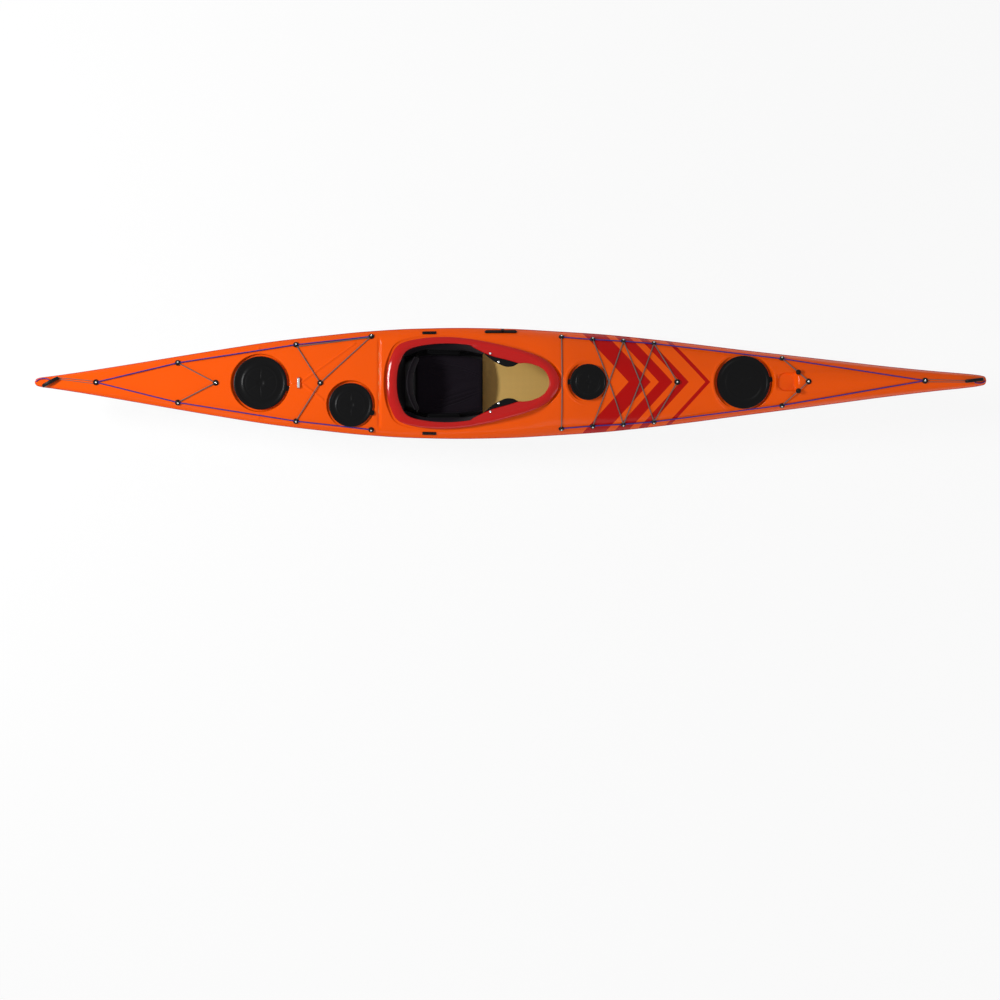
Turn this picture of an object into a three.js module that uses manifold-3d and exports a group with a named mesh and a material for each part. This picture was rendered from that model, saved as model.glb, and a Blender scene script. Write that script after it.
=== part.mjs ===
// Sea kayak: a composite touring boat with four deck hatches, a decked cockpit and a drop skeg.
// Millimetres. +X is the bow, +Y is port, +Z is up. The origin is on the flat of the keel, amidships.
import * as THREE from 'three';
import { mergeVertices } from 'three/addons/utils/BufferGeometryUtils.js';
import Module from 'manifold-3d';

const wasm = await Module();
wasm.setup();

// Driving dimensions of the boat
const LENGTH = 4720;
const BEAM = 560;
const BOW_HEIGHT = 472;
const LAMINATE = 4;
const CLEARANCE = 0.3;
const OVERRUN = 60;
const KEEL_FLAT = 24;
const STRIP_WIDTH = 26;
const STRIP_THICKNESS = 2.5;
const STERN_SOLID_LENGTH = 120;
const BOW_SOLID_LENGTH = 240;
const halfLength = LENGTH / 2;

// Bulkheads, by the place of their after face
const BULKHEAD_THICKNESS = 5;
const FORE_BULKHEAD_SHARE = 0.38136;
const FORE_BULKHEAD_X = FORE_BULKHEAD_SHARE * halfLength;
const COCKPIT_BULKHEAD_X = -650;
const STERN_BULKHEAD_SHARE = 0.44;

// Cockpit coaming
const COAMING_REAR_X = -606;
const COAMING_FRONT_X = 262;
const COAMING_WIDTH_SHARE = 0.825;
const COAMING_WIDTH = COAMING_WIDTH_SHARE * BEAM;
const COAMING_SIDE_WIDTH = 33;
const COAMING_END_WIDTH = 52;
const COAMING_HEIGHT = 26;
const COAMING_LIP_THICKNESS = 5;
const COAMING_LIP_DROP = 9;
const RISER_THICKNESS = 4;
const RISER_DEPTH = 14;
const RECESS_MARGIN = 15;

// Thigh flanges moulded on the coaming, and the pads bolted under them
const THIGH_REAR_X = -190;
const THIGH_FRONT_X = 130;
const THIGH_REACH = 38;
const THIGH_FLANGE_THICKNESS = 4;
const THIGH_FLANGE_DROP = 14;
const THIGH_PAD_REAR_X = -113;
const THIGH_PAD_FRONT_X = 55;
const THIGH_PAD_THICKNESS = 18;
const THIGH_PAD_BULGE = 35;
const THIGH_PAD_TUCK = 22;

// Round hatches: lid diameter, place along the boat and rise of the lid's top over the deck's crown
const STERN_HATCH_DIAMETER = 268;
const STERN_HATCH_X = -1240;
const STERN_HATCH_RISE = 0.7;
const DAY_HATCH_DIAMETER = 220;
const DAY_HATCH_X = -786;
const DAY_HATCH_EDGE = 18.2;
const DAY_HATCH_RISE = 2.4;
const POD_HATCH_DIAMETER = 180;
const POD_HATCH_X = 404;
const POD_HATCH_RISE = 0.2;
const BOW_HATCH_DIAMETER = 264;
const BOW_HATCH_SHARE = 0.5;
const BOW_HATCH_X = BOW_HATCH_SHARE * halfLength;
const BOW_HATCH_RISE = -18;
const LID_HEIGHT = 20;
const LID_WALL = 3.5;
const LID_RIDGE = 3;
const LID_TAB_LENGTH = 30;
const LID_TAB_WIDTH = 26;
const LID_TAB_THICKNESS = 5;
const WELL_MARGIN = 14;
const RIM_WIDTH = 22;
const RIM_WALL = 3.5;
const RIM_DEPTH = 12;
const POD_DEPTH = 150;
const POD_WALL = 3;
const POD_TAPER = 12;

// Pocket for a compass in the foredeck, just ahead of the bow hatch
const COMPASS_LENGTH = 104;
const COMPASS_GAP = 10;
const COMPASS_X = BOW_HATCH_X + (BOW_HATCH_DIAMETER + COMPASS_LENGTH) / 2 + WELL_MARGIN + COMPASS_GAP;
const COMPASS_WIDTH = 98;
const COMPASS_DEPTH = 15;
const COMPASS_SEAT_DIAMETER = 88;
const COMPASS_SEAT_DEPTH = 6;

// Drop skeg, its trunk and its slider
const SKEG_PIVOT_SHARE = -0.68983;
const SKEG_PIVOT_X = SKEG_PIVOT_SHARE * halfLength;
const SKEG_PIVOT_Z = 98;
const SKEG_ANGLE = 41.5 * (Math.PI / 180);
const SKEG_REACH = 270;
const SKEG_FRONT = 20;
const SKEG_BACK = 46;
const SKEG_THICKNESS = 8;
const SKEG_PIN_DIAMETER = 8;
const TRUNK_AHEAD = 44;
const TRUNK_ASTERN = 324;
const TRUNK_FRONT_X = SKEG_PIVOT_X + TRUNK_AHEAD;
const TRUNK_REAR_X = SKEG_PIVOT_X - TRUNK_ASTERN;
const TRUNK_TOP = 172;
const TRUNK_BORE = 12;
const TRUNK_WALL = 3;
const TRACK_X = -32;
const TRACK_SHARE = 0.9143;
const TRACK_Y = (TRACK_SHARE * BEAM) / 2;
const TRACK_LENGTH = 164;
const TRACK_WIDTH = 20;
const TRACK_THICKNESS = 6;
const TRACK_SLOT = 6;
const KNOB_X = -23;
const KNOB_DIAMETER = 17;
const KNOB_HEIGHT = 9;
const KNOB_STEM_DEPTH = 4;
const CABLE_DIAMETER = 8;
const PULL_CORD_DIAMETER = 2;
const PULL_CORD_KNOT = 6;

// Seat, backrest and hip pads
const SEAT_REAR_X = -520;
const SEAT_FRONT_X = -124;
const SEAT_HALF_WIDTH = 176;
const SEAT_FLOOR = 52;
const SEAT_WALL = 4;
const SEAT_PAD_THICKNESS = 20;
const SEAT_HANGER_LENGTH = 90;
const SEAT_HANGER_THICKNESS = 4;
const SEAT_HANGER_OVERLAP = 10;
const HIP_PAD_THICKNESS = 16;
const BACKREST_X = -492;
const BACKREST_BOTTOM = 124;
const BACKREST_TOP = 258;
const BACKREST_HALF_WIDTH = 132;
const BACKREST_THICKNESS = 24;
const BACKREST_WRAP = 40;
const BACKREST_LEAN = 16;
const BACKREST_PIN_X = -457;
const BACKREST_PIN_Z = 150;
const BACKREST_PIN_DIAMETER = 18;

// Footrests: rails inside the hull sides, with pedals that slide on them
const RAIL_REAR_X = 430;
const RAIL_GAP = 90;
const RAIL_FRONT_X = FORE_BULKHEAD_X - RAIL_GAP;
const RAIL_REAR_Z = 141;
const RAIL_FRONT_Z = 161;
const RAIL_HEIGHT = 24;
const RAIL_THICKNESS = 8;
const RAIL_STANDOFF = 14;
const RAIL_BOLT_REAR_SETBACK = 16;
const RAIL_BOLT_FRONT_SETBACK = 15;
const RAIL_BOLT_REAR_X = RAIL_REAR_X + RAIL_BOLT_REAR_SETBACK;
const RAIL_BOLT_FRONT_X = RAIL_FRONT_X - RAIL_BOLT_FRONT_SETBACK;
const BOLT_DIAMETER = 6;
const BOLT_HEAD_DIAMETER = 15;
const BOLT_HEAD_THICKNESS = 3;
const PEDAL_SHARE = 0.44737;
const PEDAL_X = RAIL_REAR_X + PEDAL_SHARE * (RAIL_FRONT_X - RAIL_REAR_X);
const PEDAL_WIDTH = 58;
const PEDAL_HEIGHT = 110;
const PEDAL_THICKNESS = 8;
const PEDAL_SADDLE_LENGTH = 46;
const PEDAL_SADDLE_WALL = 4;

// Deck fittings, lines and bungees
const FITTING_DIAMETER = 30;
const FITTING_HEIGHT = 10;
const LINE_DIAMETER = 6;
const LINE_STANDOFF = 2.8;
const BUNGEE_DIAMETER = 5;
const BUNGEE_STANDOFF = 1.8;
const CORD_STEP = 42;
const BALL_DIAMETER = 26;
const BAR_SETBACK = 36;
const BAR_LENGTH = 60;
const BAR_WIDTH = 12;
const BAR_HEIGHT = 14;
const BAR_THICKNESS = 4;
const BUCKLE_X = -392;
const BUCKLE_SHARE = 0.9;
const BUCKLE_Y = (BUCKLE_SHARE * BEAM) / 2;
const BUCKLE_LENGTH = 70;
const BUCKLE_WIDTH = 17;
const BUCKLE_THICKNESS = 6;
const TOGGLE_LENGTH = 92;
const TOGGLE_HEIGHT = 27;
const TOGGLE_THICKNESS = 17;
const BOW_TOGGLE_SETBACK = 64;
const STERN_TOGGLE_SETBACK = 81;
const TOGGLE_LOOP_DIAMETER = 5;

// Lines of the boat. Each row holds a place as a share of the half length, then the line as a share
// of the half beam or of the height of the bow
const HALF_BEAM_SHARES = [
  [-1, 0.03], [-0.997, 0.055], [-0.99, 0.08], [-0.965, 0.11], [-0.91, 0.18], [-0.8, 0.335], [-0.7, 0.48],
  [-0.6, 0.62], [-0.5, 0.75], [-0.4, 0.85], [-0.3, 0.935], [-0.2, 0.985], [-0.1, 1], [0, 0.985],
  [0.1, 0.94], [0.2, 0.885], [0.3, 0.8], [0.4, 0.7], [0.5, 0.59], [0.6, 0.485], [0.7, 0.378],
  [0.8, 0.27], [0.9, 0.175], [0.96, 0.125], [0.985, 0.098], [0.997, 0.07], [1, 0.04],
];
const KEEL_SHARES = [
  [-1, 0.53], [-0.99, 0.36], [-0.98, 0.285], [-0.96, 0.246], [-0.92, 0.229], [-0.85, 0.195], [-0.75, 0.15],
  [-0.65, 0.108], [-0.55, 0.073], [-0.45, 0.049], [-0.35, 0.0275], [-0.25, 0.0106], [-0.17, 0],
  [0.08, 0], [0.2, 0.0106], [0.3, 0.0244], [0.4, 0.055], [0.5, 0.09], [0.6, 0.128], [0.7, 0.178],
  [0.8, 0.25], [0.85, 0.307], [0.9, 0.398], [0.94, 0.595], [0.96, 0.702], [0.98, 0.806], [1, 0.895],
];
const SEAM_SHARES = [
  [-1, 0.585], [-0.91, 0.54], [-0.83, 0.496], [-0.75, 0.451], [-0.665, 0.418], [-0.58, 0.396],
  [-0.5, 0.381], [-0.42, 0.368], [-0.34, 0.354], [-0.25, 0.3475], [0.08, 0.3475], [0.17, 0.358],
  [0.28, 0.377], [0.365, 0.394], [0.45, 0.432], [0.53, 0.479], [0.61, 0.541], [0.7, 0.611],
  [0.78, 0.684], [0.86, 0.758], [0.94, 0.838], [1, 0.907],
];
const CROWN_SHARES = [
  [-1, 0.655], [-0.91, 0.633], [-0.83, 0.597], [-0.75, 0.561], [-0.665, 0.532], [-0.58, 0.511],
  [-0.5, 0.501], [-0.42, 0.5], [-0.3, 0.494], [-0.2, 0.498], [-0.12, 0.53], [-0.04, 0.593],
  [0.04, 0.667], [0.1, 0.714], [0.13, 0.718], [0.18, 0.705], [0.28, 0.69], [0.4, 0.681],
  [0.5, 0.695], [0.567, 0.727], [0.61, 0.76], [0.655, 0.788], [0.735, 0.841], [0.82, 0.896],
  [0.9, 0.949], [0.965, 0.992], [0.985, 1], [1, 0.985],
];
const CHINE_OUT_SHARES = [[-1, 0.6], [-0.9, 0.62], [-0.7, 0.72], [-0.4, 0.84], [0.2, 0.84], [0.5, 0.78], [0.8, 0.62], [1, 0.5]];
const CHINE_UP_SHARES = [[-1, 0.3], [-0.8, 0.16], [-0.6, 0.18], [-0.3, 0.32], [0, 0.37], [0.4, 0.42], [0.8, 0.36], [1, 0.3]];
const DECK_EDGE_OUT_SHARES = [[-1, 0.7], [-0.69, 0.73], [-0.45, 0.864], [-0.29, 0.87], [0.11, 0.84], [0.575, 0.84], [1, 0.7]];
const DECK_EDGE_UP_SHARES = [[-1, 0.75], [-0.69, 0.86], [-0.45, 0.66], [-0.29, 0.58], [0.11, 0.4], [0.575, 0.55], [1, 0.65]];
const LIP_SHARES = [
  [-0.26, 0.516], [-0.2, 0.514], [-0.13, 0.52], [-0.07, 0.552], [-0.017, 0.61], [0.034, 0.668],
  [0.085, 0.702], [0.112, 0.712],
];
// Points across half a section, as shares of the way out and up between its two ends
const BOTTOM_SHARES = [[0.6, 0.42]];
const SIDE_SHARES = [[0.46, 0.33], [0.76, 0.67]];
const DECK_SIDE_SHARES = [[0.38, 0.5]];
const DECK_CROWN_SHARES = [[0.36, 0.51], [0.7, 0.86]];
// Half outline of the coaming, rear to front, as shares of its length and of its half width
const COAMING_OUTLINE_SHARES = [
  [0, 0], [0.022, 0.53], [0.085, 0.86], [0.2, 0.968], [0.34, 1], [0.48, 0.955], [0.65, 0.825],
  [0.82, 0.645], [0.91, 0.49], [0.97, 0.285], [1, 0],
];
// Places of the deck fittings: a bay of the deck, the share of the way forward in it and the share of the half beam
const AFT_LINE_SHARES = [
  ['day', 0.7421, 0.838], ['bulkhead', 0.1648, 0.686], ['stern', 0.7284, 0.355], ['stern', 0.3132, 0],
  ['stern', 0.7284, -0.355], ['bulkhead', 0.1648, -0.686], ['day', 0.7421, -0.838],
];
const FORE_LINE_SHARES = [
  ['pod', 0.0449, 0.82], ['pod', 0.681, 0.775], ['fore', 0.1424, 0.745], ['fore', 0.4341, 0.7],
  ['bow', 0.0437, 0.415], ['bow', 0.7101, 0], ['bow', 0.0437, -0.415], ['fore', 0.4341, -0.7],
  ['fore', 0.1424, -0.745], ['pod', 0.681, -0.775], ['pod', 0.0449, -0.82],
];
const CENTRE_FITTING_SHARES = {
  stern: ['stern', 0.9226, 0], aft: ['bulkhead', 0.8391, 0], fore: ['fore', 0.6449, 0], bow: ['bow', 0.1646, 0],
};
const BALL_SHARE = 0.45;
const BALL_CONTACT_SHARES = [-0.6, -0.45, -0.3, -0.15, 0, 0.15, 0.3, 0.45, 0.6];
const LATHE_SIDES = 20;
const CORD_SIDES = 5;
const COAMING_STEPS = 18;
const STATION_COUNT = 24;

const shellEnd = halfLength - STRIP_THICKNESS - CLEARANCE;
const Z = new THREE.Vector3(0, 0, 1);

// Finishes
const finish = (color, roughness, metalness = 0) => new THREE.MeshStandardMaterial({ color, roughness, metalness });
const whiteGelcoat = finish(0xe9e7e6, 0.22);
const orangeGelcoat = finish(0xee6710, 0.2);
const redGelcoat = finish(0xb01016, 0.2);
const redTrim = finish(0xa80f1a, 0.25);
const laminate = finish(0xc9a566, 0.6);
const blackRubber = finish(0x1d2022, 0.62);
const blackPlastic = finish(0x15161a, 0.42);
const navyFabric = finish(0x1c1b2b, 0.9);
const blackFoam = finish(0x16161a, 0.85);
const aluminium = finish(0x9ea2a6, 0.35, 1);
const stainless = finish(0xb9bcc0, 0.22, 1);
const blueCord = finish(0x2a3aa6, 0.7);
const greyBungee = finish(0x565b58, 0.75);
const pinkCord = finish(0xc9697a, 0.8);

const kayak = new THREE.Group();
kayak.name = 'sea_kayak';

function place(name, geometry, material, group = kayak) {
  const mesh = new THREE.Mesh(geometry, material);
  mesh.name = name;
  group.add(mesh);
  return mesh;
}

// A smooth line through a table's points that rises and falls only where the table does
function along(shares, t) {
  const last = shares.length - 1;
  let i = 0;
  while (i < last - 1 && t > shares[i + 1][0]) i += 1;
  const chord = (k) => (shares[k + 1][1] - shares[k][1]) / (shares[k + 1][0] - shares[k][0]);
  const slope = (k) => {
    if (k === 0) return chord(0);
    if (k === last) return chord(last - 1);
    const before = chord(k - 1);
    const after = chord(k);
    return before * after > 0 ? (2 * before * after) / (before + after) : 0;
  };
  const width = shares[i + 1][0] - shares[i][0];
  const u = THREE.MathUtils.clamp((t - shares[i][0]) / width, 0, 1);
  const rise = u * u * (3 - 2 * u);
  const lead = slope(i) * width * u * (1 - u) * (1 - u);
  const trail = slope(i + 1) * width * u * u * (u - 1);
  return shares[i][1] + (shares[i + 1][1] - shares[i][1]) * rise + lead + trail;
}

const shellHalfBeam = (x) => (BEAM / 2) * along(HALF_BEAM_SHARES, x / halfLength) - STRIP_THICKNESS - CLEARANCE;
const keelZ = (x) => BOW_HEIGHT * along(KEEL_SHARES, x / halfLength);
const seamZ = (x) => BOW_HEIGHT * along(SEAM_SHARES, x / halfLength);
const jointZ = (x) => seamZ(x) + STRIP_WIDTH / 2;
const crownZ = (x) => BOW_HEIGHT * along(CROWN_SHARES, x / halfLength);
const lipZ = (x) => BOW_HEIGHT * along(LIP_SHARES, x / halfLength);

const DAY_HATCH_Y = DAY_HATCH_EDGE + WELL_MARGIN + DAY_HATCH_DIAMETER / 2 - shellHalfBeam(DAY_HATCH_X);
const hatches = [
  { name: 'stern_hatch', x: STERN_HATCH_X, y: 0, diameter: STERN_HATCH_DIAMETER, rise: STERN_HATCH_RISE, tab: -0.2 },
  { name: 'day_hatch', x: DAY_HATCH_X, y: DAY_HATCH_Y, diameter: DAY_HATCH_DIAMETER, rise: DAY_HATCH_RISE, tab: -0.36 },
  { name: 'pod_hatch', x: POD_HATCH_X, y: 0, diameter: POD_HATCH_DIAMETER, rise: POD_HATCH_RISE, tab: Math.PI },
  { name: 'bow_hatch', x: BOW_HATCH_X, y: 0, diameter: BOW_HATCH_DIAMETER, rise: BOW_HATCH_RISE, tab: 0.1 },
].map((hatch) => ({ ...hatch, radius: hatch.diameter / 2, top: crownZ(hatch.x) + hatch.rise }));

// Bays of the deck between the hatches' wells, the cockpit and the ends, each from aft to forward
const [sternWell, dayWell, podWell, bowWell] = hatches.map(({ x, radius }) => ({
  aft: x - radius - WELL_MARGIN,
  fore: x + radius + WELL_MARGIN,
}));
const BAYS = {
  stern: [-halfLength, sternWell.aft],
  bulkhead: [sternWell.fore, dayWell.aft],
  day: [dayWell.aft, COAMING_REAR_X],
  pod: [COAMING_FRONT_X, podWell.fore],
  fore: [podWell.fore, bowWell.aft],
  bow: [bowWell.fore, halfLength],
};
const placeOf = ([bay, s, w]) => new THREE.Vector2(THREE.MathUtils.lerp(...BAYS[bay], s), (w * BEAM) / 2);
const STERN_BULKHEAD_X = THREE.MathUtils.lerp(...BAYS.bulkhead, STERN_BULKHEAD_SHARE);

// Half a hull section, from the joint down to the keel, as (y, z)
function hullSection(x) {
  const t = x / halfLength;
  const beam = shellHalfBeam(x);
  const keel = keelZ(x);
  const seam = seamZ(x);
  const chineY = beam * along(CHINE_OUT_SHARES, t);
  const chineZ = keel + (seam - keel) * along(CHINE_UP_SHARES, t);
  const flat = Math.min(KEEL_FLAT / 2, chineY / 2);
  const side = SIDE_SHARES.map(([out, up]) => new THREE.Vector2(
    chineY + (beam - chineY) * out,
    chineZ + (seam - chineZ) * up,
  ));
  const bottom = BOTTOM_SHARES.map(([out, up]) => new THREE.Vector2(
    flat + (chineY - flat) * out,
    keel + (chineZ - keel) * up,
  ));
  return [
    new THREE.Vector2(beam, jointZ(x)),
    new THREE.Vector2(beam, seam),
    ...side.reverse(),
    new THREE.Vector2(chineY, chineZ),
    ...bottom.reverse(),
    new THREE.Vector2(flat, keel),
  ];
}

// Half a deck section, from the joint up to the centre line, as (y, z)
function deckSection(x) {
  const t = x / halfLength;
  const beam = shellHalfBeam(x);
  const low = seamZ(x) + STRIP_WIDTH;
  const crown = Math.max(crownZ(x), low);
  const edgeY = beam * along(DECK_EDGE_OUT_SHARES, t);
  const edgeZ = low + (crown - low) * along(DECK_EDGE_UP_SHARES, t);
  const side = DECK_SIDE_SHARES.map(([into, up]) => new THREE.Vector2(
    beam - (beam - edgeY) * into,
    low + (edgeZ - low) * up,
  ));
  const top = DECK_CROWN_SHARES.map(([into, up]) => new THREE.Vector2(
    edgeY * (1 - into),
    edgeZ + (crown - edgeZ) * up,
  ));
  return [
    new THREE.Vector2(beam, jointZ(x)),
    new THREE.Vector2(beam, low),
    ...side,
    new THREE.Vector2(edgeY, edgeZ),
    ...top,
    new THREE.Vector2(0, crown),
  ];
}

// Both halves of a section, port to starboard
function wholeSection(half) {
  const mirrored = half.filter((p) => p.y !== undefined && p.x > 0).map((p) => new THREE.Vector2(-p.x, p.y));
  return [...half, ...mirrored.reverse()];
}

// Moves an open run of (y, z) points inward, square to the run, so that a wall keeps its thickness
function inset(run, distance) {
  const centre = run.reduce((sum, p) => sum.add(p), new THREE.Vector2()).divideScalar(run.length);
  const normal = (a, b) => {
    const n = new THREE.Vector2(b.y - a.y, a.x - b.x).normalize();
    const middle = new THREE.Vector2().addVectors(a, b).divideScalar(2);
    return n.dot(middle.sub(centre)) > 0 ? n.negate() : n;
  };
  return run.map((p, i) => {
    const before = normal(run[Math.max(i - 1, 0)], run[Math.max(i, 1)]);
    const after = normal(run[Math.min(i, run.length - 2)], run[Math.min(i + 1, run.length - 1)]);
    const both = before.clone().add(after);
    return p.clone().addScaledVector(both, distance / (1 + before.dot(after)));
  });
}

const atStation = (x, run) => run.map((p) => new THREE.Vector3(x, p.x, p.y));

// Turns a mesh's faces outward if they point in
function outward(geometry) {
  const { index } = geometry;
  const position = geometry.getAttribute('position');
  const [a, b, c] = [new THREE.Vector3(), new THREE.Vector3(), new THREE.Vector3()];
  let volume = 0;
  for (let i = 0; i < index.count; i += 3) {
    a.fromBufferAttribute(position, index.getX(i));
    b.fromBufferAttribute(position, index.getX(i + 1));
    c.fromBufferAttribute(position, index.getX(i + 2));
    volume += a.dot(b.cross(c));
  }
  if (volume < 0) {
    for (let i = 0; i < index.count; i += 3) {
      const first = index.getX(i);
      index.setX(i, index.getX(i + 2));
      index.setX(i + 2, first);
    }
  }
  geometry.computeVertexNormals();
  return geometry;
}

// Skins a row of rings that have the same number of points; an open row is capped about its ends' centres
function loft(rings, closed = false) {
  const count = rings[0].length;
  const points = rings.flat();
  const faces = [];
  const runs = closed ? rings.length : rings.length - 1;
  for (let i = 0; i < runs; i += 1) {
    const next = (i + 1) % rings.length;
    for (let j = 0; j < count; j += 1) {
      const k = (j + 1) % count;
      faces.push(i * count + j, i * count + k, next * count + k);
      faces.push(i * count + j, next * count + k, next * count + j);
    }
  }
  if (!closed) {
    for (const [ring, turn] of [[0, 1], [rings.length - 1, -1]]) {
      const centre = rings[ring].reduce((sum, p) => sum.add(p), new THREE.Vector3()).divideScalar(count);
      points.push(centre);
      for (let j = 0; j < count; j += 1) {
        const pair = [ring * count + j, ring * count + ((j + 1) % count)];
        faces.push(points.length - 1, ...(turn > 0 ? pair.reverse() : pair));
      }
    }
  }
  const geometry = new THREE.BufferGeometry().setFromPoints(points);
  geometry.setIndex(faces);
  return outward(geometry);
}

// A closed sheet between two surfaces that are given on the same grid
function slab(columns, rows, front, back) {
  const points = [];
  for (const side of [front, back]) {
    for (let i = 0; i <= columns; i += 1) {
      for (let j = 0; j <= rows; j += 1) points.push(side(i / columns, j / rows));
    }
  }
  const stride = rows + 1;
  const half = (columns + 1) * stride;
  const at = (i, j) => i * stride + j;
  const faces = [];
  for (let i = 0; i < columns; i += 1) {
    for (let j = 0; j < rows; j += 1) {
      faces.push(at(i, j), at(i + 1, j), at(i + 1, j + 1), at(i, j), at(i + 1, j + 1), at(i, j + 1));
      faces.push(half + at(i, j), half + at(i + 1, j + 1), half + at(i + 1, j));
      faces.push(half + at(i, j), half + at(i, j + 1), half + at(i + 1, j + 1));
    }
  }
  const edge = [];
  for (let i = 0; i < columns; i += 1) edge.push(at(i, 0));
  for (let j = 0; j < rows; j += 1) edge.push(at(columns, j));
  for (let i = columns; i > 0; i -= 1) edge.push(at(i, rows));
  for (let j = rows; j > 0; j -= 1) edge.push(at(0, j));
  edge.forEach((a, n) => {
    const b = edge[(n + 1) % edge.length];
    faces.push(a, half + b, b, a, half + a, half + b);
  });
  const geometry = new THREE.BufferGeometry().setFromPoints(points);
  geometry.setIndex(faces);
  return outward(geometry);
}

// Solids for cutting and joining
function solid(source) {
  const geometry = source.clone();
  geometry.deleteAttribute('normal');
  geometry.deleteAttribute('uv');
  const merged = mergeVertices(geometry);
  return new wasm.Manifold(new wasm.Mesh({
    numProp: 3,
    vertProperties: new Float32Array(merged.getAttribute('position').array),
    triVerts: new Uint32Array(merged.index.array),
  }));
}

function meshOf(manifold) {
  const { vertProperties, triVerts } = manifold.getMesh();
  const geometry = new THREE.BufferGeometry();
  geometry.setAttribute('position', new THREE.BufferAttribute(vertProperties, 3));
  geometry.setIndex(new THREE.BufferAttribute(triVerts, 1));
  geometry.computeVertexNormals();
  return geometry;
}

// A profile of (radius, height) turned about +Z
function turned(profile, sides = LATHE_SIDES) {
  const points = profile.map(([radius, height]) => new THREE.Vector2(radius, height));
  return new THREE.LatheGeometry(points, sides).rotateX(Math.PI / 2);
}

const cylinder = (radius, from, to, x, y, sides = LATHE_SIDES) => turned([[0, from], [radius, from], [radius, to], [0, to]], sides).translate(x, y, 0);
const box = (x, y, z) => new THREE.BoxGeometry(x, y, z);

// A round cord along a run of points
function cord(points, diameter, sides = CORD_SIDES) {
  const frames = [];
  let side = null;
  points.forEach((p, i) => {
    const before = points[Math.max(i - 1, 0)];
    const after = points[Math.min(i + 1, points.length - 1)];
    const tangent = new THREE.Vector3().subVectors(after, before).normalize();
    if (!side) side = new THREE.Vector3().crossVectors(Z, tangent).normalize();
    side = side.clone().addScaledVector(tangent, -side.dot(tangent)).normalize();
    const up = new THREE.Vector3().crossVectors(tangent, side);
    const ring = [];
    for (let k = 0; k < sides; k += 1) {
      const angle = (k / sides) * 2 * Math.PI;
      const arm = side.clone().multiplyScalar(Math.cos(angle)).addScaledVector(up, Math.sin(angle));
      ring.push(p.clone().addScaledVector(arm, diameter / 2));
    }
    frames.push(ring);
  });
  return loft(frames);
}

// Height and outward direction of the deck at a place, on the straight run between two stations
function deckZ(x, y) {
  let k = 0;
  while (k < outerStations.length - 2 && outerStations[k + 1] < x) k += 1;
  const [rear, front] = [outerStations[k], outerStations[k + 1]];
  const rearHalf = deckSection(rear);
  const frontHalf = deckSection(front);
  const way = THREE.MathUtils.clamp((x - rear) / (front - rear), 0, 1);
  const half = rearHalf.map((p, i) => p.clone().lerp(frontHalf[i], way));
  const out = Math.min(Math.abs(y), half[1].x);
  let i = 1;
  while (i < half.length - 2 && half[i + 1].x > out) i += 1;
  const share = (half[i].x - out) / (half[i].x - half[i + 1].x);
  return THREE.MathUtils.lerp(half[i].y, half[i + 1].y, THREE.MathUtils.clamp(share, 0, 1));
}

function deckFrame(x, y) {
  const reach = FITTING_DIAMETER / 2;
  const slopeX = (deckZ(x + reach, y) - deckZ(x - reach, y)) / (2 * reach);
  const slopeY = (deckZ(x, y + reach) - deckZ(x, y - reach)) / (2 * reach);
  const normal = new THREE.Vector3(-slopeX, -slopeY, 1).normalize();
  return { point: new THREE.Vector3(x, y, deckZ(x, y)), normal };
}

// Stations of the shells: even steps, the bulkheads' faces and closer ones at the ends and the cockpit front
function stations(from, to) {
  const END_SHARES = [0.997, 0.99, 0.975, 0.95];
  const places = [from, to];
  for (let i = 1; i < STATION_COUNT; i += 1) places.push(-halfLength + (LENGTH * i) / STATION_COUNT);
  for (const share of END_SHARES) places.push(-halfLength * share, halfLength * share);
  for (const x of [FORE_BULKHEAD_X, COCKPIT_BULKHEAD_X, STERN_BULKHEAD_X]) places.push(x, x + BULKHEAD_THICKNESS);
  for (const x of [RAIL_REAR_X, RAIL_FRONT_X, COAMING_FRONT_X, -0.17 * halfLength, 0.08 * halfLength]) places.push(x);
  const sorted = places.filter((x) => x >= from && x <= to).sort((a, b) => a - b);
  return sorted.filter((x, i) => i === 0 || x - sorted[i - 1] > LAMINATE);
}

const outerStations = stations(-shellEnd, shellEnd);
const innerStations = stations(-shellEnd + STERN_SOLID_LENGTH, shellEnd - BOW_SOLID_LENGTH);

function hullRun(x, depth) {
  return depth ? inset(wholeSection(hullSection(x)), depth) : wholeSection(hullSection(x));
}

function deckRun(x, depth) {
  return depth ? inset(wholeSection(deckSection(x)), depth) : wholeSection(deckSection(x));
}

// Carries the two ends of an inner run past the joint, so that the cut opens the shell
function openEnds(run, rise) {
  const [first, last] = [run[0].clone(), run[run.length - 1].clone()];
  first.y += rise;
  last.y += rise;
  return [first, ...run.slice(1, -1), last];
}

const hullOuter = solid(loft(outerStations.map((x) => atStation(x, openEnds(hullRun(x), -CLEARANCE / 2)))));
const hullInner = solid(loft(innerStations.map((x) => atStation(x, openEnds(hullRun(x, LAMINATE), OVERRUN)))));
const deckOuter = solid(loft(outerStations.map((x) => atStation(x, openEnds(deckRun(x), CLEARANCE / 2)))));
const deckInner = solid(loft(innerStations.map((x) => atStation(x, openEnds(deckRun(x, LAMINATE), -OVERRUN)))));

// Closed outline of the cockpit at a size, port side first
function coamingOutline(rear, front, halfWidth) {
  const curve = new THREE.CatmullRomCurve3(
    [...COAMING_OUTLINE_SHARES, ...COAMING_OUTLINE_SHARES.slice(1, -1).reverse().map(([s, w]) => [s, -w])]
      .map(([s, w]) => new THREE.Vector3(s, w, 0)),
    true,
    'centripetal',
  );
  return curve.getPoints(2 * COAMING_STEPS).slice(0, -1).map((p) => new THREE.Vector2(
    rear + (front - rear) * p.x,
    halfWidth * p.y,
  ));
}

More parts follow.
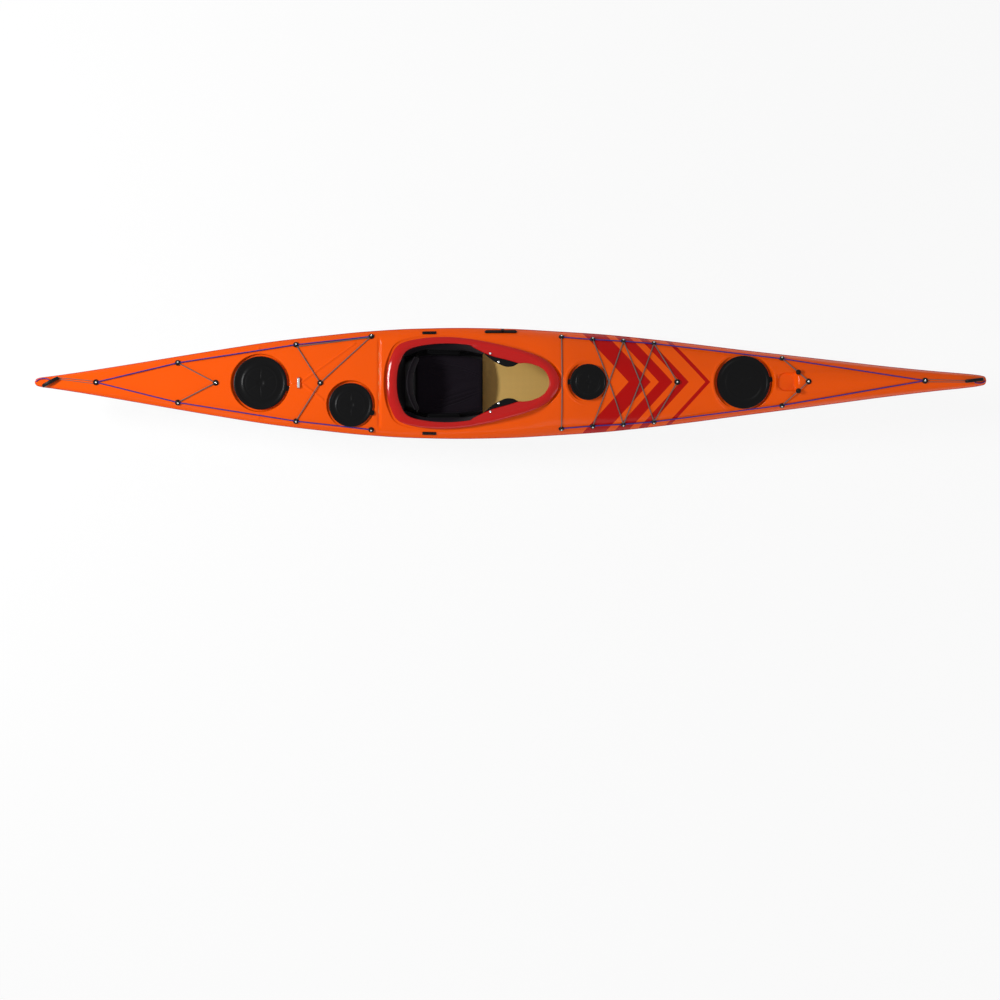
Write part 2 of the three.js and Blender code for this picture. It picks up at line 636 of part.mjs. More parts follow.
// The same outline, moved outward by a margin at its sides and ends alike
const outlineAt = (margin) => coamingOutline(COAMING_REAR_X - margin, COAMING_FRONT_X + margin, COAMING_WIDTH / 2 + margin);
const innerOutlineAt = (margin) => coamingOutline(
  COAMING_REAR_X + COAMING_END_WIDTH - margin,
  COAMING_FRONT_X - COAMING_END_WIDTH + margin,
  COAMING_WIDTH / 2 - COAMING_SIDE_WIDTH + margin,
);

function prism(outline, from, to) {
  const shape = new THREE.Shape(outline);
  return solid(new THREE.ExtrudeGeometry(shape, { depth: to - from, bevelEnabled: false }).translate(0, 0, from));
}

// Everything above a height that varies along the boat
function above(height) {
  return solid(loft(outerStations.map((x) => [
    new THREE.Vector3(x, -BEAM, height(x)),
    new THREE.Vector3(x, BEAM, height(x)),
    new THREE.Vector3(x, BEAM, BOW_HEIGHT + OVERRUN),
    new THREE.Vector3(x, -BEAM, BOW_HEIGHT + OVERRUN),
  ])));
}

// Skeg trunk, cut to the hull's outside
function trunkBlock(margin) {
  const length = TRUNK_FRONT_X - TRUNK_REAR_X + 2 * margin;
  const height = TRUNK_TOP + margin + OVERRUN;
  return solid(box(length, TRUNK_BORE + 2 * margin, height)
    .translate((TRUNK_FRONT_X + TRUNK_REAR_X) / 2, 0, TRUNK_TOP + margin - height / 2));
}

// Hull
function railSide(x, z, depth) {
  const half = inset(wholeSection(hullSection(x)), depth);
  let i = 0;
  while (i < half.length - 2 && half[i + 1].y > z) i += 1;
  return THREE.MathUtils.lerp(half[i].x, half[i + 1].x, (half[i].y - z) / (half[i].y - half[i + 1].y));
}

const railBolts = [
  { x: RAIL_BOLT_REAR_X, z: RAIL_REAR_Z },
  { x: RAIL_BOLT_FRONT_X, z: RAIL_FRONT_Z },
];

function crossBore(x, z, radius, from, to) {
  return solid(new THREE.CylinderGeometry(radius, radius, to - from, 8).translate(x, (from + to) / 2, z));
}

let hull = hullOuter.subtract(hullInner).subtract(trunkBlock(TRUNK_WALL + CLEARANCE));
for (const { x, z } of railBolts) {
  hull = hull.subtract(crossBore(x, z, BOLT_DIAMETER / 2 + CLEARANCE, -BEAM, BEAM));
}
place('hull_shell', meshOf(hull), whiteGelcoat);

// Deck, with a recess under the coaming's lip and a round well under each hatch
const recessFloor = (x) => lipZ(x) - COAMING_HEIGHT;
const recess = (margin) => prism(outlineAt(RECESS_MARGIN + margin), 0, BOW_HEIGHT)
  .intersect(above((x) => recessFloor(x) - margin));
let deckCuts = recess(0);
let innerCuts = recess(LAMINATE);
let deckHoles = prism(innerOutlineAt(RISER_THICKNESS + CLEARANCE), 0, BOW_HEIGHT + OVERRUN);
for (const { x, y, radius, top } of hatches) {
  const floor = top - LID_HEIGHT;
  const high = BOW_HEIGHT + OVERRUN;
  deckCuts = deckCuts.add(solid(cylinder(radius + WELL_MARGIN, floor, high, x, y)));
  innerCuts = innerCuts.add(solid(cylinder(radius + WELL_MARGIN + LAMINATE, floor - LAMINATE, high, x, y)));
  deckHoles = deckHoles.add(solid(cylinder(radius - RIM_WIDTH, 0, high, x, y)));
}
const compassFloor = crownZ(COMPASS_X) - COMPASS_DEPTH;
for (const [cut, margin] of [[deckCuts, 0], [innerCuts, LAMINATE]]) {
  const height = COMPASS_DEPTH + OVERRUN;
  const pocket = solid(box(COMPASS_LENGTH + 2 * margin, COMPASS_WIDTH + 2 * margin, height)
    .translate(COMPASS_X, 0, compassFloor - margin + height / 2));
  const seatFloor = compassFloor - COMPASS_SEAT_DEPTH - margin;
  const seatCut = solid(cylinder(COMPASS_SEAT_DIAMETER / 2 + margin, seatFloor, compassFloor + height, COMPASS_X, 0));
  if (margin) innerCuts = cut.add(pocket).add(seatCut);
  else deckCuts = cut.add(pocket).add(seatCut);
}
const deck = deckOuter.subtract(deckCuts).subtract(deckInner.subtract(innerCuts)).subtract(deckHoles);
place('deck_shell', meshOf(deck), orangeGelcoat);

// Seam strip: a band round the whole boat over the joint of hull and deck
function planOffset(points, distance) {
  return points.map((p, i) => {
    const before = points[(i + points.length - 1) % points.length];
    const after = points[(i + 1) % points.length];
    const n1 = new THREE.Vector2(p.y - before.y, before.x - p.x).normalize();
    const n2 = new THREE.Vector2(after.y - p.y, p.x - after.x).normalize();
    return p.clone().addScaledVector(n1.clone().add(n2), distance / (1 + n1.dot(n2)));
  });
}

const starboard = outerStations.map((x) => new THREE.Vector2(x, -shellHalfBeam(x)));
const perimeter = [...starboard, ...outerStations.map((x) => new THREE.Vector2(x, shellHalfBeam(x))).reverse()];
const stripInner = planOffset(perimeter, CLEARANCE);
const stripOuter = planOffset(perimeter, CLEARANCE + STRIP_THICKNESS);
const stripRings = perimeter.map((p, i) => {
  const low = seamZ(p.x);
  const high = low + STRIP_WIDTH;
  const edge = STRIP_THICKNESS;
  return [
    new THREE.Vector3(stripInner[i].x, stripInner[i].y, low),
    new THREE.Vector3(stripOuter[i].x, stripOuter[i].y, low + edge),
    new THREE.Vector3(stripOuter[i].x, stripOuter[i].y, high - edge),
    new THREE.Vector3(stripInner[i].x, stripInner[i].y, high),
  ];
});
place('seam_strip', loft(stripRings, true), redTrim);

// Bulkheads
const bulkheadFit = LAMINATE + CLEARANCE;
function bulkheadRing(x) {
  const below = hullRun(x, bulkheadFit);
  const over = deckRun(x, bulkheadFit).reverse();
  return atStation(x, [...below.slice(0, -1), ...over.slice(0, -1)]);
}

// Cable of the skeg, from the trunk to the slider, held along the port side
const CABLE_LEAD = 7;
const sternPass = STERN_BULKHEAD_X + BULKHEAD_THICKNESS / 2;
const cockpitPass = COCKPIT_BULKHEAD_X + BULKHEAD_THICKNESS / 2;
const CABLE_SHARES = [
  [TRUNK_FRONT_X + TRUNK_WALL + 2 * CLEARANCE, 0, 0.3305],
  [THREE.MathUtils.lerp(TRUNK_FRONT_X, sternPass, 0.042), 0, 0.3326],
  [THREE.MathUtils.lerp(TRUNK_FRONT_X, sternPass, 0.32), 0.2143, 0.3559],
  [THREE.MathUtils.lerp(TRUNK_FRONT_X, sternPass, 0.58), 0.4286, 0.3602],
  [sternPass - CABLE_LEAD, 0.6357, 0.3517],
  [sternPass + CABLE_LEAD, 0.6429, 0.3517],
  [THREE.MathUtils.lerp(sternPass, cockpitPass, 0.52), 0.7643, 0.3517],
  [cockpitPass - CABLE_LEAD, 0.8286, 0.3517],
  [cockpitPass + CABLE_LEAD, 0.8321, 0.3517],
  [THREE.MathUtils.lerp(cockpitPass, TRACK_X, 0.4), 0.8821, 0.3602],
  [THREE.MathUtils.lerp(cockpitPass, TRACK_X, 0.64), 0.8786, 0.3729],
  [THREE.MathUtils.lerp(cockpitPass, TRACK_X, 0.79), 0.8571, 0.4025],
];
const cableRoute = CABLE_SHARES.map(([x, y, z]) => new THREE.Vector3(x, (y * BEAM) / 2, z * BOW_HEIGHT));
const cableBore = solid(cord(cableRoute, CABLE_DIAMETER + 2 * CLEARANCE, 6));

function bulkhead(name, x) {
  const plate = solid(loft([bulkheadRing(x), bulkheadRing(x + BULKHEAD_THICKNESS)]));
  place(name, meshOf(plate.subtract(cableBore)), laminate);
}
bulkhead('fore_bulkhead', FORE_BULKHEAD_X);
bulkhead('cockpit_bulkhead', COCKPIT_BULKHEAD_X);
bulkhead('stern_bulkhead', STERN_BULKHEAD_X);

// Coaming: a lip, a riser that stands in the deck's hole, and two thigh flanges
const lipOuter = outlineAt(0);
const lipInner = innerOutlineAt(0);
const riserOuter = innerOutlineAt(RISER_THICKNESS);
const coamingRings = lipOuter.map((outer, i) => {
  const inner = lipInner[i];
  const riser = riserOuter[i];
  const at = (p, z) => new THREE.Vector3(p.x, p.y, z);
  const [zo, zi, zr] = [lipZ(outer.x), lipZ(inner.x), lipZ(riser.x)];
  const middle = outer.clone().lerp(inner, 0.5);
  const near = outer.clone().lerp(inner, 0.12);
  const foot = (p) => lipZ(p.x) - COAMING_HEIGHT - LAMINATE - RISER_DEPTH;
  return [
    at(outer, zo - COAMING_LIP_DROP),
    at(outer, zo - COAMING_LIP_THICKNESS / 2),
    at(near, zo),
    at(middle, lipZ(middle.x)),
    at(inner, zi - COAMING_LIP_THICKNESS),
    at(inner, foot(inner)),
    at(riser, foot(riser)),
    at(riser, zr - 2 * COAMING_LIP_THICKNESS),
    at(near, zo - 1.4 * COAMING_LIP_THICKNESS),
  ];
});
let coaming = solid(loft(coamingRings, true));

// Half width of the cockpit opening at a place along it
function openingY(x) {
  const port = lipInner.filter((p) => p.y >= 0).sort((a, b) => a.x - b.x);
  let i = 0;
  while (i < port.length - 2 && port[i + 1].x < x) i += 1;
  return THREE.MathUtils.lerp(port[i].y, port[i + 1].y, (x - port[i].x) / (port[i + 1].x - port[i].x));
}

// Inner edge of a thigh flange: it leaves the riser at the rear and reaches furthest inward near the front
const THIGH_REACH_SHARES = [
  [0, 0.04], [0.13, 0.45], [0.29, 0.82], [0.44, 0.95], [0.6, 0.96], [0.76, 1], [0.92, 0.4], [1, 0.06],
];
const THIGH_BULGE_SHARES = [[0, 0.15], [0.35, 0.6], [0.72, 1], [1, 0.1]];
const thighX = (u) => THREE.MathUtils.lerp(THIGH_REAR_X, THIGH_FRONT_X, u);
const thighInner = (u) => openingY(thighX(u)) - THIGH_REACH * along(THIGH_REACH_SHARES, u);
const thighZ = (x, v) => lipZ(x) - 2 * COAMING_LIP_THICKNESS - THIGH_FLANGE_DROP * v;
for (const hand of [1, -1]) {
  const flange = (drop) => (u, v) => {
    const x = thighX(u);
    const rootY = openingY(x) + RISER_THICKNESS / 2;
    return new THREE.Vector3(x, hand * THREE.MathUtils.lerp(rootY, thighInner(u), v), thighZ(x, v) - drop);
  };
  coaming = coaming.add(solid(slab(8, 1, flange(0), flange(THIGH_FLANGE_THICKNESS))));
}
place('cockpit_coaming', meshOf(coaming), redGelcoat);

// Thigh pads, under the flanges and showing past their inner edges
for (const [side, hand] of [['port', 1], ['starboard', -1]]) {
  const ease = (u) => Math.sqrt(Math.max(1 - (2 * u - 1) ** 4, 0.2));
  const face = (level) => (u, v) => {
    const x = THREE.MathUtils.lerp(THIGH_PAD_REAR_X, THIGH_PAD_FRONT_X, u);
    const edge = thighInner((x - THIGH_REAR_X) / (THIGH_FRONT_X - THIGH_REAR_X));
    const outerY = Math.min(edge + THIGH_PAD_TUCK, openingY(x) - LAMINATE);
    const innerY = edge - THIGH_PAD_BULGE * along(THIGH_BULGE_SHARES, u);
    const swell = level ? 1 - 0.35 * (2 * v - 1) ** 2 : 0;
    const roof = thighZ(x, 1) - THIGH_FLANGE_THICKNESS - 2 * CLEARANCE;
    const y = THREE.MathUtils.lerp(outerY, innerY, v);
    return new THREE.Vector3(x, hand * y, roof - THIGH_PAD_THICKNESS * swell * ease(u));
  };
  place(`thigh_pad_${side}`, slab(7, 4, face(0), face(1)), blackFoam);
}

// Hatch rims and lids
function rimProfile(radius, floor) {
  const bore = radius - RIM_WIDTH - CLEARANCE;
  const outer = radius - LID_WALL - 2 * CLEARANCE;
  const base = floor + CLEARANCE;
  return [
    [bore - RIM_WALL, base - LAMINATE - RIM_DEPTH],
    [bore, base - LAMINATE - RIM_DEPTH],
    [bore, base],
    [outer, base],
    [outer, base + RIM_WALL],
    [outer - RIM_WALL, base + LID_HEIGHT / 2],
    [bore - RIM_WALL, base + LID_HEIGHT / 2],
    [bore - RIM_WALL, base - LAMINATE - RIM_DEPTH],
  ];
}

function lidProfile(radius, top) {
  const under = top - LID_HEIGHT / 2 + 2 * CLEARANCE;
  return [
    [0, under],
    [radius - LID_WALL, under],
    [radius - LID_WALL, top - LID_HEIGHT + LID_WALL],
    [radius, top - LID_HEIGHT + LID_WALL],
    [radius, top - LID_RIDGE],
    [0.97 * radius, top],
    [0.9 * radius, top],
    [0.86 * radius, top - LID_RIDGE],
    [0.68 * radius, top - LID_RIDGE],
    [0.65 * radius, top - LID_RIDGE / 3],
    [0, top - LID_RIDGE / 3],
  ];
}

for (const { name, x, y, radius, top, tab } of hatches) {
  place(`${name}_rim`, turned(rimProfile(radius, top - LID_HEIGHT)).translate(x, y, 0), blackPlastic);
  const tongue = solid(box(LID_TAB_LENGTH, LID_TAB_WIDTH, LID_TAB_THICKNESS)
    .translate(radius - LID_TAB_THICKNESS, 0, top - LID_TAB_THICKNESS)
    .rotateZ(tab));
  const lid = solid(turned(lidProfile(radius, top))).add(tongue);
  place(`${name}_lid`, meshOf(lid).translate(x, y, 0), blackRubber);
}

// Pod: a tub that hangs from the pod hatch's well
function podProfile() {
  const radius = POD_HATCH_DIAMETER / 2 - RIM_WIDTH / 2;
  const top = crownZ(POD_HATCH_X) + POD_HATCH_RISE - LID_HEIGHT - LAMINATE - CLEARANCE;
  const bottom = top - POD_DEPTH;
  return [
    [0, bottom],
    [radius - POD_TAPER, bottom],
    [radius, top],
    [radius - POD_WALL, top],
    [radius - POD_TAPER - POD_WALL, bottom + POD_WALL],
    [0, bottom + POD_WALL],
  ];
}
place('pod_tub', turned(podProfile()).translate(POD_HATCH_X, 0, 0), laminate);

// Skeg: trunk, pin, blade, cable, slider track and knob
const trunkCavity = trunkBlock(0);
const pinBore = crossBore(SKEG_PIVOT_X, SKEG_PIVOT_Z, SKEG_PIN_DIAMETER / 2 + 2 * CLEARANCE, -TRUNK_BORE, TRUNK_BORE);
const trunk = trunkBlock(TRUNK_WALL).intersect(hullOuter).subtract(trunkCavity).subtract(pinBore);
place('skeg_trunk', meshOf(trunk), laminate);
place('skeg_pin', new THREE.CylinderGeometry(
  SKEG_PIN_DIAMETER / 2,
  SKEG_PIN_DIAMETER / 2,
  TRUNK_BORE + 2 * TRUNK_WALL,
  12,
).translate(SKEG_PIVOT_X, 0, SKEG_PIVOT_Z), stainless);

// Blade outline about the pivot: distance along the blade, then forward of its line, as shares
const BLADE_SHARES = [
  [0, 1], [0.5, 1], [0.86, 0.98], [0.93, 0.7], [0.975, -0.1], [1, -0.5], [0.99, -0.78], [0.94, -0.9], [0.5, -0.96], [0.1, -1],
  [-0.06, -0.75], [-0.09, 0], [-0.06, 0.7],
];
const skegShape = new THREE.Shape(BLADE_SHARES.map(([s, w]) => new THREE.Vector2(
  s * SKEG_REACH,
  w > 0 ? w * SKEG_FRONT : w * SKEG_BACK,
)));
const bladeTurn = new THREE.Matrix4().makeBasis(
  new THREE.Vector3(-Math.cos(SKEG_ANGLE), 0, -Math.sin(SKEG_ANGLE)),
  new THREE.Vector3(Math.sin(SKEG_ANGLE), 0, -Math.cos(SKEG_ANGLE)),
  new THREE.Vector3(0, -1, 0),
);
const bladeBevel = SKEG_THICKNESS / 5;
const bladeBody = new THREE.ExtrudeGeometry(skegShape, {
  depth: SKEG_THICKNESS - 2 * bladeBevel,
  bevelThickness: bladeBevel,
  bevelSize: bladeBevel,
  bevelOffset: -bladeBevel,
  bevelSegments: 1,
}).translate(0, 0, bladeBevel - SKEG_THICKNESS / 2).applyMatrix4(bladeTurn)
  .translate(SKEG_PIVOT_X, 0, SKEG_PIVOT_Z);
place('skeg_blade', meshOf(solid(bladeBody).subtract(pinBore)), blackPlastic);
place('skeg_cable', cord(cableRoute, CABLE_DIAMETER, 6), blackPlastic);

// Pull cord that hangs from the blade's tip, with its knot. Its route is given from the blade's pivot
const pullCordRoute = [
  [-187, 0, -175], [-193, 0, -194], [-200, 1, -208], [-194, 0, -222], [-186, -1, -236], [-191, 0, -250],
  [-196, 0, -264], [-195, 0, -279],
].map(([x, y, z]) => new THREE.Vector3(SKEG_PIVOT_X + x, y, SKEG_PIVOT_Z + z));
const pullCordSection = new THREE.Shape([0, 1, 2, 3, 4, 5, 6, 7].map((k) => new THREE.Vector2(
  (PULL_CORD_DIAMETER / 2) * Math.cos((k * Math.PI) / 4),
  (PULL_CORD_DIAMETER / 2) * Math.sin((k * Math.PI) / 4),
)));
const pullCord = new THREE.ExtrudeGeometry(pullCordSection, {
  steps: 18,
  extrudePath: new THREE.CatmullRomCurve3(pullCordRoute),
});
const knotPlace = pullCordRoute[pullCordRoute.length - 2];
const knot = new THREE.SphereGeometry(PULL_CORD_KNOT / 2, 8, 6).translate(knotPlace.x, knotPlace.y, knotPlace.z);
place('skeg_pull_cord', meshOf(solid(pullCord).add(solid(knot))), pinkCord);

// Frame on the deck for a piece that lies along the boat, with its base just clear of the highest point under
// the shares of its width that it rests on
function seatFrame(geometry, x, y, lift, rests = [0, 0.25, 0.5, 0.75, 1]) {
  const { point, normal } = deckFrame(x, y);
  const forward = new THREE.Vector3(1, 0, 0).addScaledVector(normal, -normal.x).normalize();
  const across = new THREE.Vector3().crossVectors(normal, forward);
  geometry.computeBoundingBox();
  const { min, max } = geometry.boundingBox;
  let rise = 0;
  for (const s of [0, 0.25, 0.5, 0.75, 1]) {
    for (const w of rests) {
      const under = point.clone()
        .addScaledVector(forward, THREE.MathUtils.lerp(min.x, max.x, s))
        .addScaledVector(across, THREE.MathUtils.lerp(min.y, max.y, w));
      rise = Math.max(rise, (deckZ(under.x, under.y) - under.z) * normal.z);
    }
  }
  const frame = new THREE.Matrix4().makeBasis(forward, across, normal);
  return frame.setPosition(point.addScaledVector(normal, rise + lift));
}
const seatOnDeck = (geometry, x, y, lift, rests) => geometry.applyMatrix4(seatFrame(geometry, x, y, lift, rests));

const trackSlot = solid(box(TRACK_LENGTH - 2 * TRACK_WIDTH, TRACK_SLOT, TRACK_THICKNESS)
  .translate(0, 0, TRACK_THICKNESS));
const trackBody = solid(box(TRACK_LENGTH, TRACK_WIDTH, TRACK_THICKNESS).translate(0, 0, TRACK_THICKNESS / 2));
const trackLift = 3 * CLEARANCE;
const track = meshOf(trackBody.subtract(trackSlot));
const trackFrame = seatFrame(track, TRACK_X, TRACK_Y, trackLift);
place('skeg_slider_track', track.applyMatrix4(trackFrame), blackPlastic);
const knobFoot = TRACK_THICKNESS / 2 + CLEARANCE;
const knob = turned([
  [0, knobFoot],
  [TRACK_SLOT / 2 - CLEARANCE, knobFoot],
  [TRACK_SLOT / 2 - CLEARANCE, TRACK_THICKNESS + CLEARANCE],
  [KNOB_DIAMETER / 2, TRACK_THICKNESS + CLEARANCE],
  [KNOB_DIAMETER / 2, TRACK_THICKNESS + KNOB_HEIGHT - KNOB_STEM_DEPTH / 2],
  [KNOB_DIAMETER / 2 - KNOB_STEM_DEPTH / 2, TRACK_THICKNESS + KNOB_HEIGHT],
  [0, TRACK_THICKNESS + KNOB_HEIGHT],
], 12).translate(KNOB_X - TRACK_X, 0, 0);
place('skeg_slider_knob', knob.applyMatrix4(trackFrame), blackPlastic);

// Seat: a moulded trough hung from the coaming, with a padded cover
const SEAT_TOP_SHARES = [[0, 0.86], [0.35, 1], [0.65, 0.9], [1, 0.42]];
const SEAT_FLOOR_SHARES = [[0, 0.5], [0.25, 0.08], [0.6, 0], [1, 0.16]];
const SEAT_WIDTH_SHARES = [[0, 0.78], [0.3, 1], [0.7, 0.98], [1, 0.86]];
const seatRise = COAMING_HEIGHT * 5;
function trough(u, v, depth) {
  const x = THREE.MathUtils.lerp(SEAT_REAR_X, SEAT_FRONT_X, u);
  const angle = (2 * v - 1) * (Math.PI / 2);
  const half = SEAT_HALF_WIDTH * along(SEAT_WIDTH_SHARES, u) - depth;
  const floor = SEAT_FLOOR + seatRise * 0.5 * along(SEAT_FLOOR_SHARES, u) + depth;
  const top = SEAT_FLOOR + seatRise * along(SEAT_TOP_SHARES, u);
  const square = 0.55;
  const y = half * Math.sign(angle) * Math.abs(Math.sin(angle)) ** square;
  const z = top - (top - floor) * Math.abs(Math.cos(angle)) ** square;
  return new THREE.Vector3(x, y, z);
}
// The pan, its cover and the hip pads share one grid, so that they lie face to face
const SEAT_COLUMNS = 7;
const SEAT_ROWS = 14;
function seatPatch(columns, rows, outside, inside) {
  const at = (face) => (u, v) => {
    const across = THREE.MathUtils.lerp(rows[0], rows[1], v) / SEAT_ROWS;
    return face(THREE.MathUtils.lerp(columns[0], columns[1], u) / SEAT_COLUMNS, across, u, v);
  };
  return slab(columns[1] - columns[0], rows[1] - rows[0], at(inside), at(outside));
}
const panFace = (depth) => (u, v) => trough(u, v, depth);
let seat = solid(seatPatch([0, SEAT_COLUMNS], [0, SEAT_ROWS], panFace(0), panFace(SEAT_WALL)));
const hangerX = THREE.MathUtils.lerp(SEAT_REAR_X, SEAT_FRONT_X, 0.35);
const hangerZ = SEAT_FLOOR + seatRise;
for (const hand of [1, -1]) {
  const hanger = (depth) => (u, v) => {
    const x = hangerX + (u - 0.5) * SEAT_HANGER_LENGTH;
    const top = openingY(x) - CLEARANCE;
    const bottom = trough(0.35, 1, 0).y;
    const z = THREE.MathUtils.lerp(hangerZ - SEAT_HANGER_OVERLAP * 2, recessFloor(x), v);
    return new THREE.Vector3(x, hand * (THREE.MathUtils.lerp(bottom, top, Math.min(1, 2 * v)) - depth), z);
  };
  seat = seat.add(solid(slab(3, 4, hanger(0), hanger(SEAT_HANGER_THICKNESS))));
}
place('seat_pan', meshOf(seat), laminate);

const seatFace = SEAT_WALL + 2 * CLEARANCE;
const padTop = (u, v, uPad, vPad) => {
  const edge = Math.min(1, 5 * Math.min(uPad, 1 - uPad) + 0.45) * (0.55 + 0.45 * Math.sin(Math.PI * vPad));
  return trough(u, v, seatFace + SEAT_PAD_THICKNESS * edge);
};
const hipTop = panFace(seatFace + HIP_PAD_THICKNESS);
place('seat_pad', seatPatch([1, 7], [3, 11], panFace(seatFace), padTop), navyFabric);
place('hip_pad_port', seatPatch([2, 5], [12, 14], panFace(seatFace), hipTop), blackFoam);
place('hip_pad_starboard', seatPatch([2, 5], [0, 2], panFace(seatFace), hipTop), blackFoam);

// Backrest: a padded band that curves round the back
function backrestFace(depth) {
  return (u, v) => {
    const across = 2 * u - 1;
    const swell = depth * (0.55 + 0.45 * Math.sin(Math.PI * v)) * (0.6 + 0.4 * Math.sqrt(1 - across * across * 0.95));
    const x = BACKREST_X + BACKREST_WRAP * across * across - BACKREST_LEAN * v + swell;
    const bow = 1 - 0.3 * across * across;
    const z = THREE.MathUtils.lerp(BACKREST_BOTTOM, BACKREST_BOTTOM + (BACKREST_TOP - BACKREST_BOTTOM) * bow, v);
    return new THREE.Vector3(x, BACKREST_HALF_WIDTH * across, z);
  };
}
// It turns on two pins that reach from its ends to the sides of the seat
let backrest = solid(slab(10, 5, backrestFace(BACKREST_THICKNESS), backrestFace(0)));
const pinRadius = BACKREST_PIN_DIAMETER / 2;
const pinRearShare = (BACKREST_PIN_X - pinRadius - SEAT_REAR_X) / (SEAT_FRONT_X - SEAT_REAR_X);
const pinSeat = [1 - 1 / SEAT_ROWS, 1].map((v) => trough(pinRearShare, v, SEAT_WALL));
const pinHeight = (BACKREST_PIN_Z - pinRadius - pinSeat[0].z) / (pinSeat[1].z - pinSeat[0].z);
const pinReach = THREE.MathUtils.lerp(pinSeat[0].y, pinSeat[1].y, pinHeight) - CLEARANCE;
const pinFoot = BACKREST_HALF_WIDTH - BACKREST_THICKNESS;
for (const [from, to] of [[pinFoot, pinReach], [-pinReach, -pinFoot]]) {
  backrest = backrest.add(crossBore(BACKREST_PIN_X, BACKREST_PIN_Z, pinRadius, from, to));
}
place('backrest', meshOf(backrest), navyFabric);

// Footrests: a rail bolted through each hull side, and a pedal on its saddle
for (const [side, hand] of [['port', 1], ['starboard', -1]]) {
  const wallY = (x, z) => railSide(x, z, LAMINATE);
  const rearY = wallY(RAIL_BOLT_REAR_X, RAIL_REAR_Z) - RAIL_STANDOFF;
  const frontY = wallY(RAIL_BOLT_FRONT_X, RAIL_FRONT_Z) - RAIL_STANDOFF;
  const start = new THREE.Vector3(RAIL_BOLT_REAR_X, hand * rearY, RAIL_REAR_Z);
  const end = new THREE.Vector3(RAIL_BOLT_FRONT_X, hand * frontY, RAIL_FRONT_Z);
  const forward = end.clone().sub(start).normalize();
  const up = Z.clone().addScaledVector(forward, -forward.z).normalize();
  const across = new THREE.Vector3().crossVectors(up, forward);
  const railFrame = new THREE.Matrix4().makeBasis(forward, across, up).setPosition(start);
  const railLength = RAIL_FRONT_X - RAIL_REAR_X;
  const railStart = RAIL_REAR_X - RAIL_BOLT_REAR_X;
  const rail = box(railLength, RAIL_THICKNESS, RAIL_HEIGHT).translate(railStart + railLength / 2, 0, 0);
  let railSolid = solid(rail.applyMatrix4(railFrame));
  for (const { x, z } of railBolts) {
    const inner = wallY(x, z) - RAIL_STANDOFF;
    const reach = BOLT_HEAD_DIAMETER / 2;
    const outside = CLEARANCE + Math.max(railSide(x - reach, z + reach, 0), railSide(x + reach, z + reach, 0));
    const bolt = crossBore(x, z, BOLT_DIAMETER / 2, inner, outside + BOLT_HEAD_THICKNESS / 2);
    const head = crossBore(x, z, reach, outside, outside + BOLT_HEAD_THICKNESS);
    const whole = meshOf(bolt.add(head));
    if (hand < 0) whole.rotateX(Math.PI).translate(0, 0, 2 * z);
    railSolid = railSolid.add(solid(whole));
  }
  place(`footrest_rail_${side}`, meshOf(railSolid), aluminium);

  const reach = PEDAL_X - RAIL_BOLT_REAR_X;
  const saddleWidth = RAIL_THICKNESS + 2 * CLEARANCE + 2 * PEDAL_SADDLE_WALL;
  const saddleHeight = RAIL_HEIGHT + 2 * CLEARANCE + 2 * PEDAL_SADDLE_WALL;
  const saddleOuter = solid(box(PEDAL_SADDLE_LENGTH, saddleWidth, saddleHeight));
  const saddleBore = solid(box(
    PEDAL_SADDLE_LENGTH + OVERRUN,
    RAIL_THICKNESS + 2 * CLEARANCE,
    RAIL_HEIGHT + 2 * CLEARANCE,
  ));
  const plateY = PEDAL_WIDTH / 2 + saddleWidth / 2 - PEDAL_SADDLE_WALL;
  const plate = solid(box(PEDAL_THICKNESS, PEDAL_WIDTH, PEDAL_HEIGHT)
    .translate((PEDAL_THICKNESS - PEDAL_SADDLE_LENGTH) / 2, -hand * plateY, PEDAL_HEIGHT * 0.14));
  const pedal = meshOf(saddleOuter.subtract(saddleBore).add(plate)).translate(reach, 0, 0).applyMatrix4(railFrame);
  place(`foot_pedal_${side}`, pedal, blackPlastic);
}

// Deck fittings: a low dome that clamps a line to the deck
function fitting(x, y) {
  const radius = FITTING_DIAMETER / 2;
  const dome = turned([[0, 0], [radius, 0], [radius * 0.74, FITTING_HEIGHT], [0, FITTING_HEIGHT]], 8);
  return seatOnDeck(dome, x, y, 2 * CLEARANCE);
}

const fittingAt =(share) => fitting(placeOf(share).x, placeOf(share).y);
const lineLift = LINE_DIAMETER / 2 + LINE_STANDOFF;

// A taut run over the deck: straight between its ends, except where the deck is in the way
function tautRun(from, to, diameter, standoff = LINE_STANDOFF, endLift = lineLift) {
  const lift = diameter / 2 + standoff;
  const steps = Math.max(2, Math.ceil(from.distanceTo(to) / CORD_STEP));
  const zFrom = deckZ(from.x, from.y) + endLift;
  const zTo = deckZ(to.x, to.y) + endLift;
  const ways = [];
  for (let i = 0; i <= steps; i += 1) ways.push(i / steps);
  const ridge = from.y * to.y < 0 ? from.y / (from.y - to.y) : 0;
  if (ridge && ways.every((way) => Math.abs(way - ridge) * steps > 0.3)) ways.push(ridge);
  return ways.sort((a, b) => a - b).map((way) => {
    const p = from.clone().lerp(to, way);
    const over = deckZ(p.x, p.y) + lift;
    return new THREE.Vector3(p.x, p.y, Math.max(THREE.MathUtils.lerp(zFrom, zTo, way), over));
  });
}

function tautCord(places, diameter) {
  const run = [];
  for (let i = 0; i < places.length - 1; i += 1) {
    run.push(...tautRun(places[i], places[i + 1], diameter).slice(i ? 1 : 0));
  }
  return run;
}

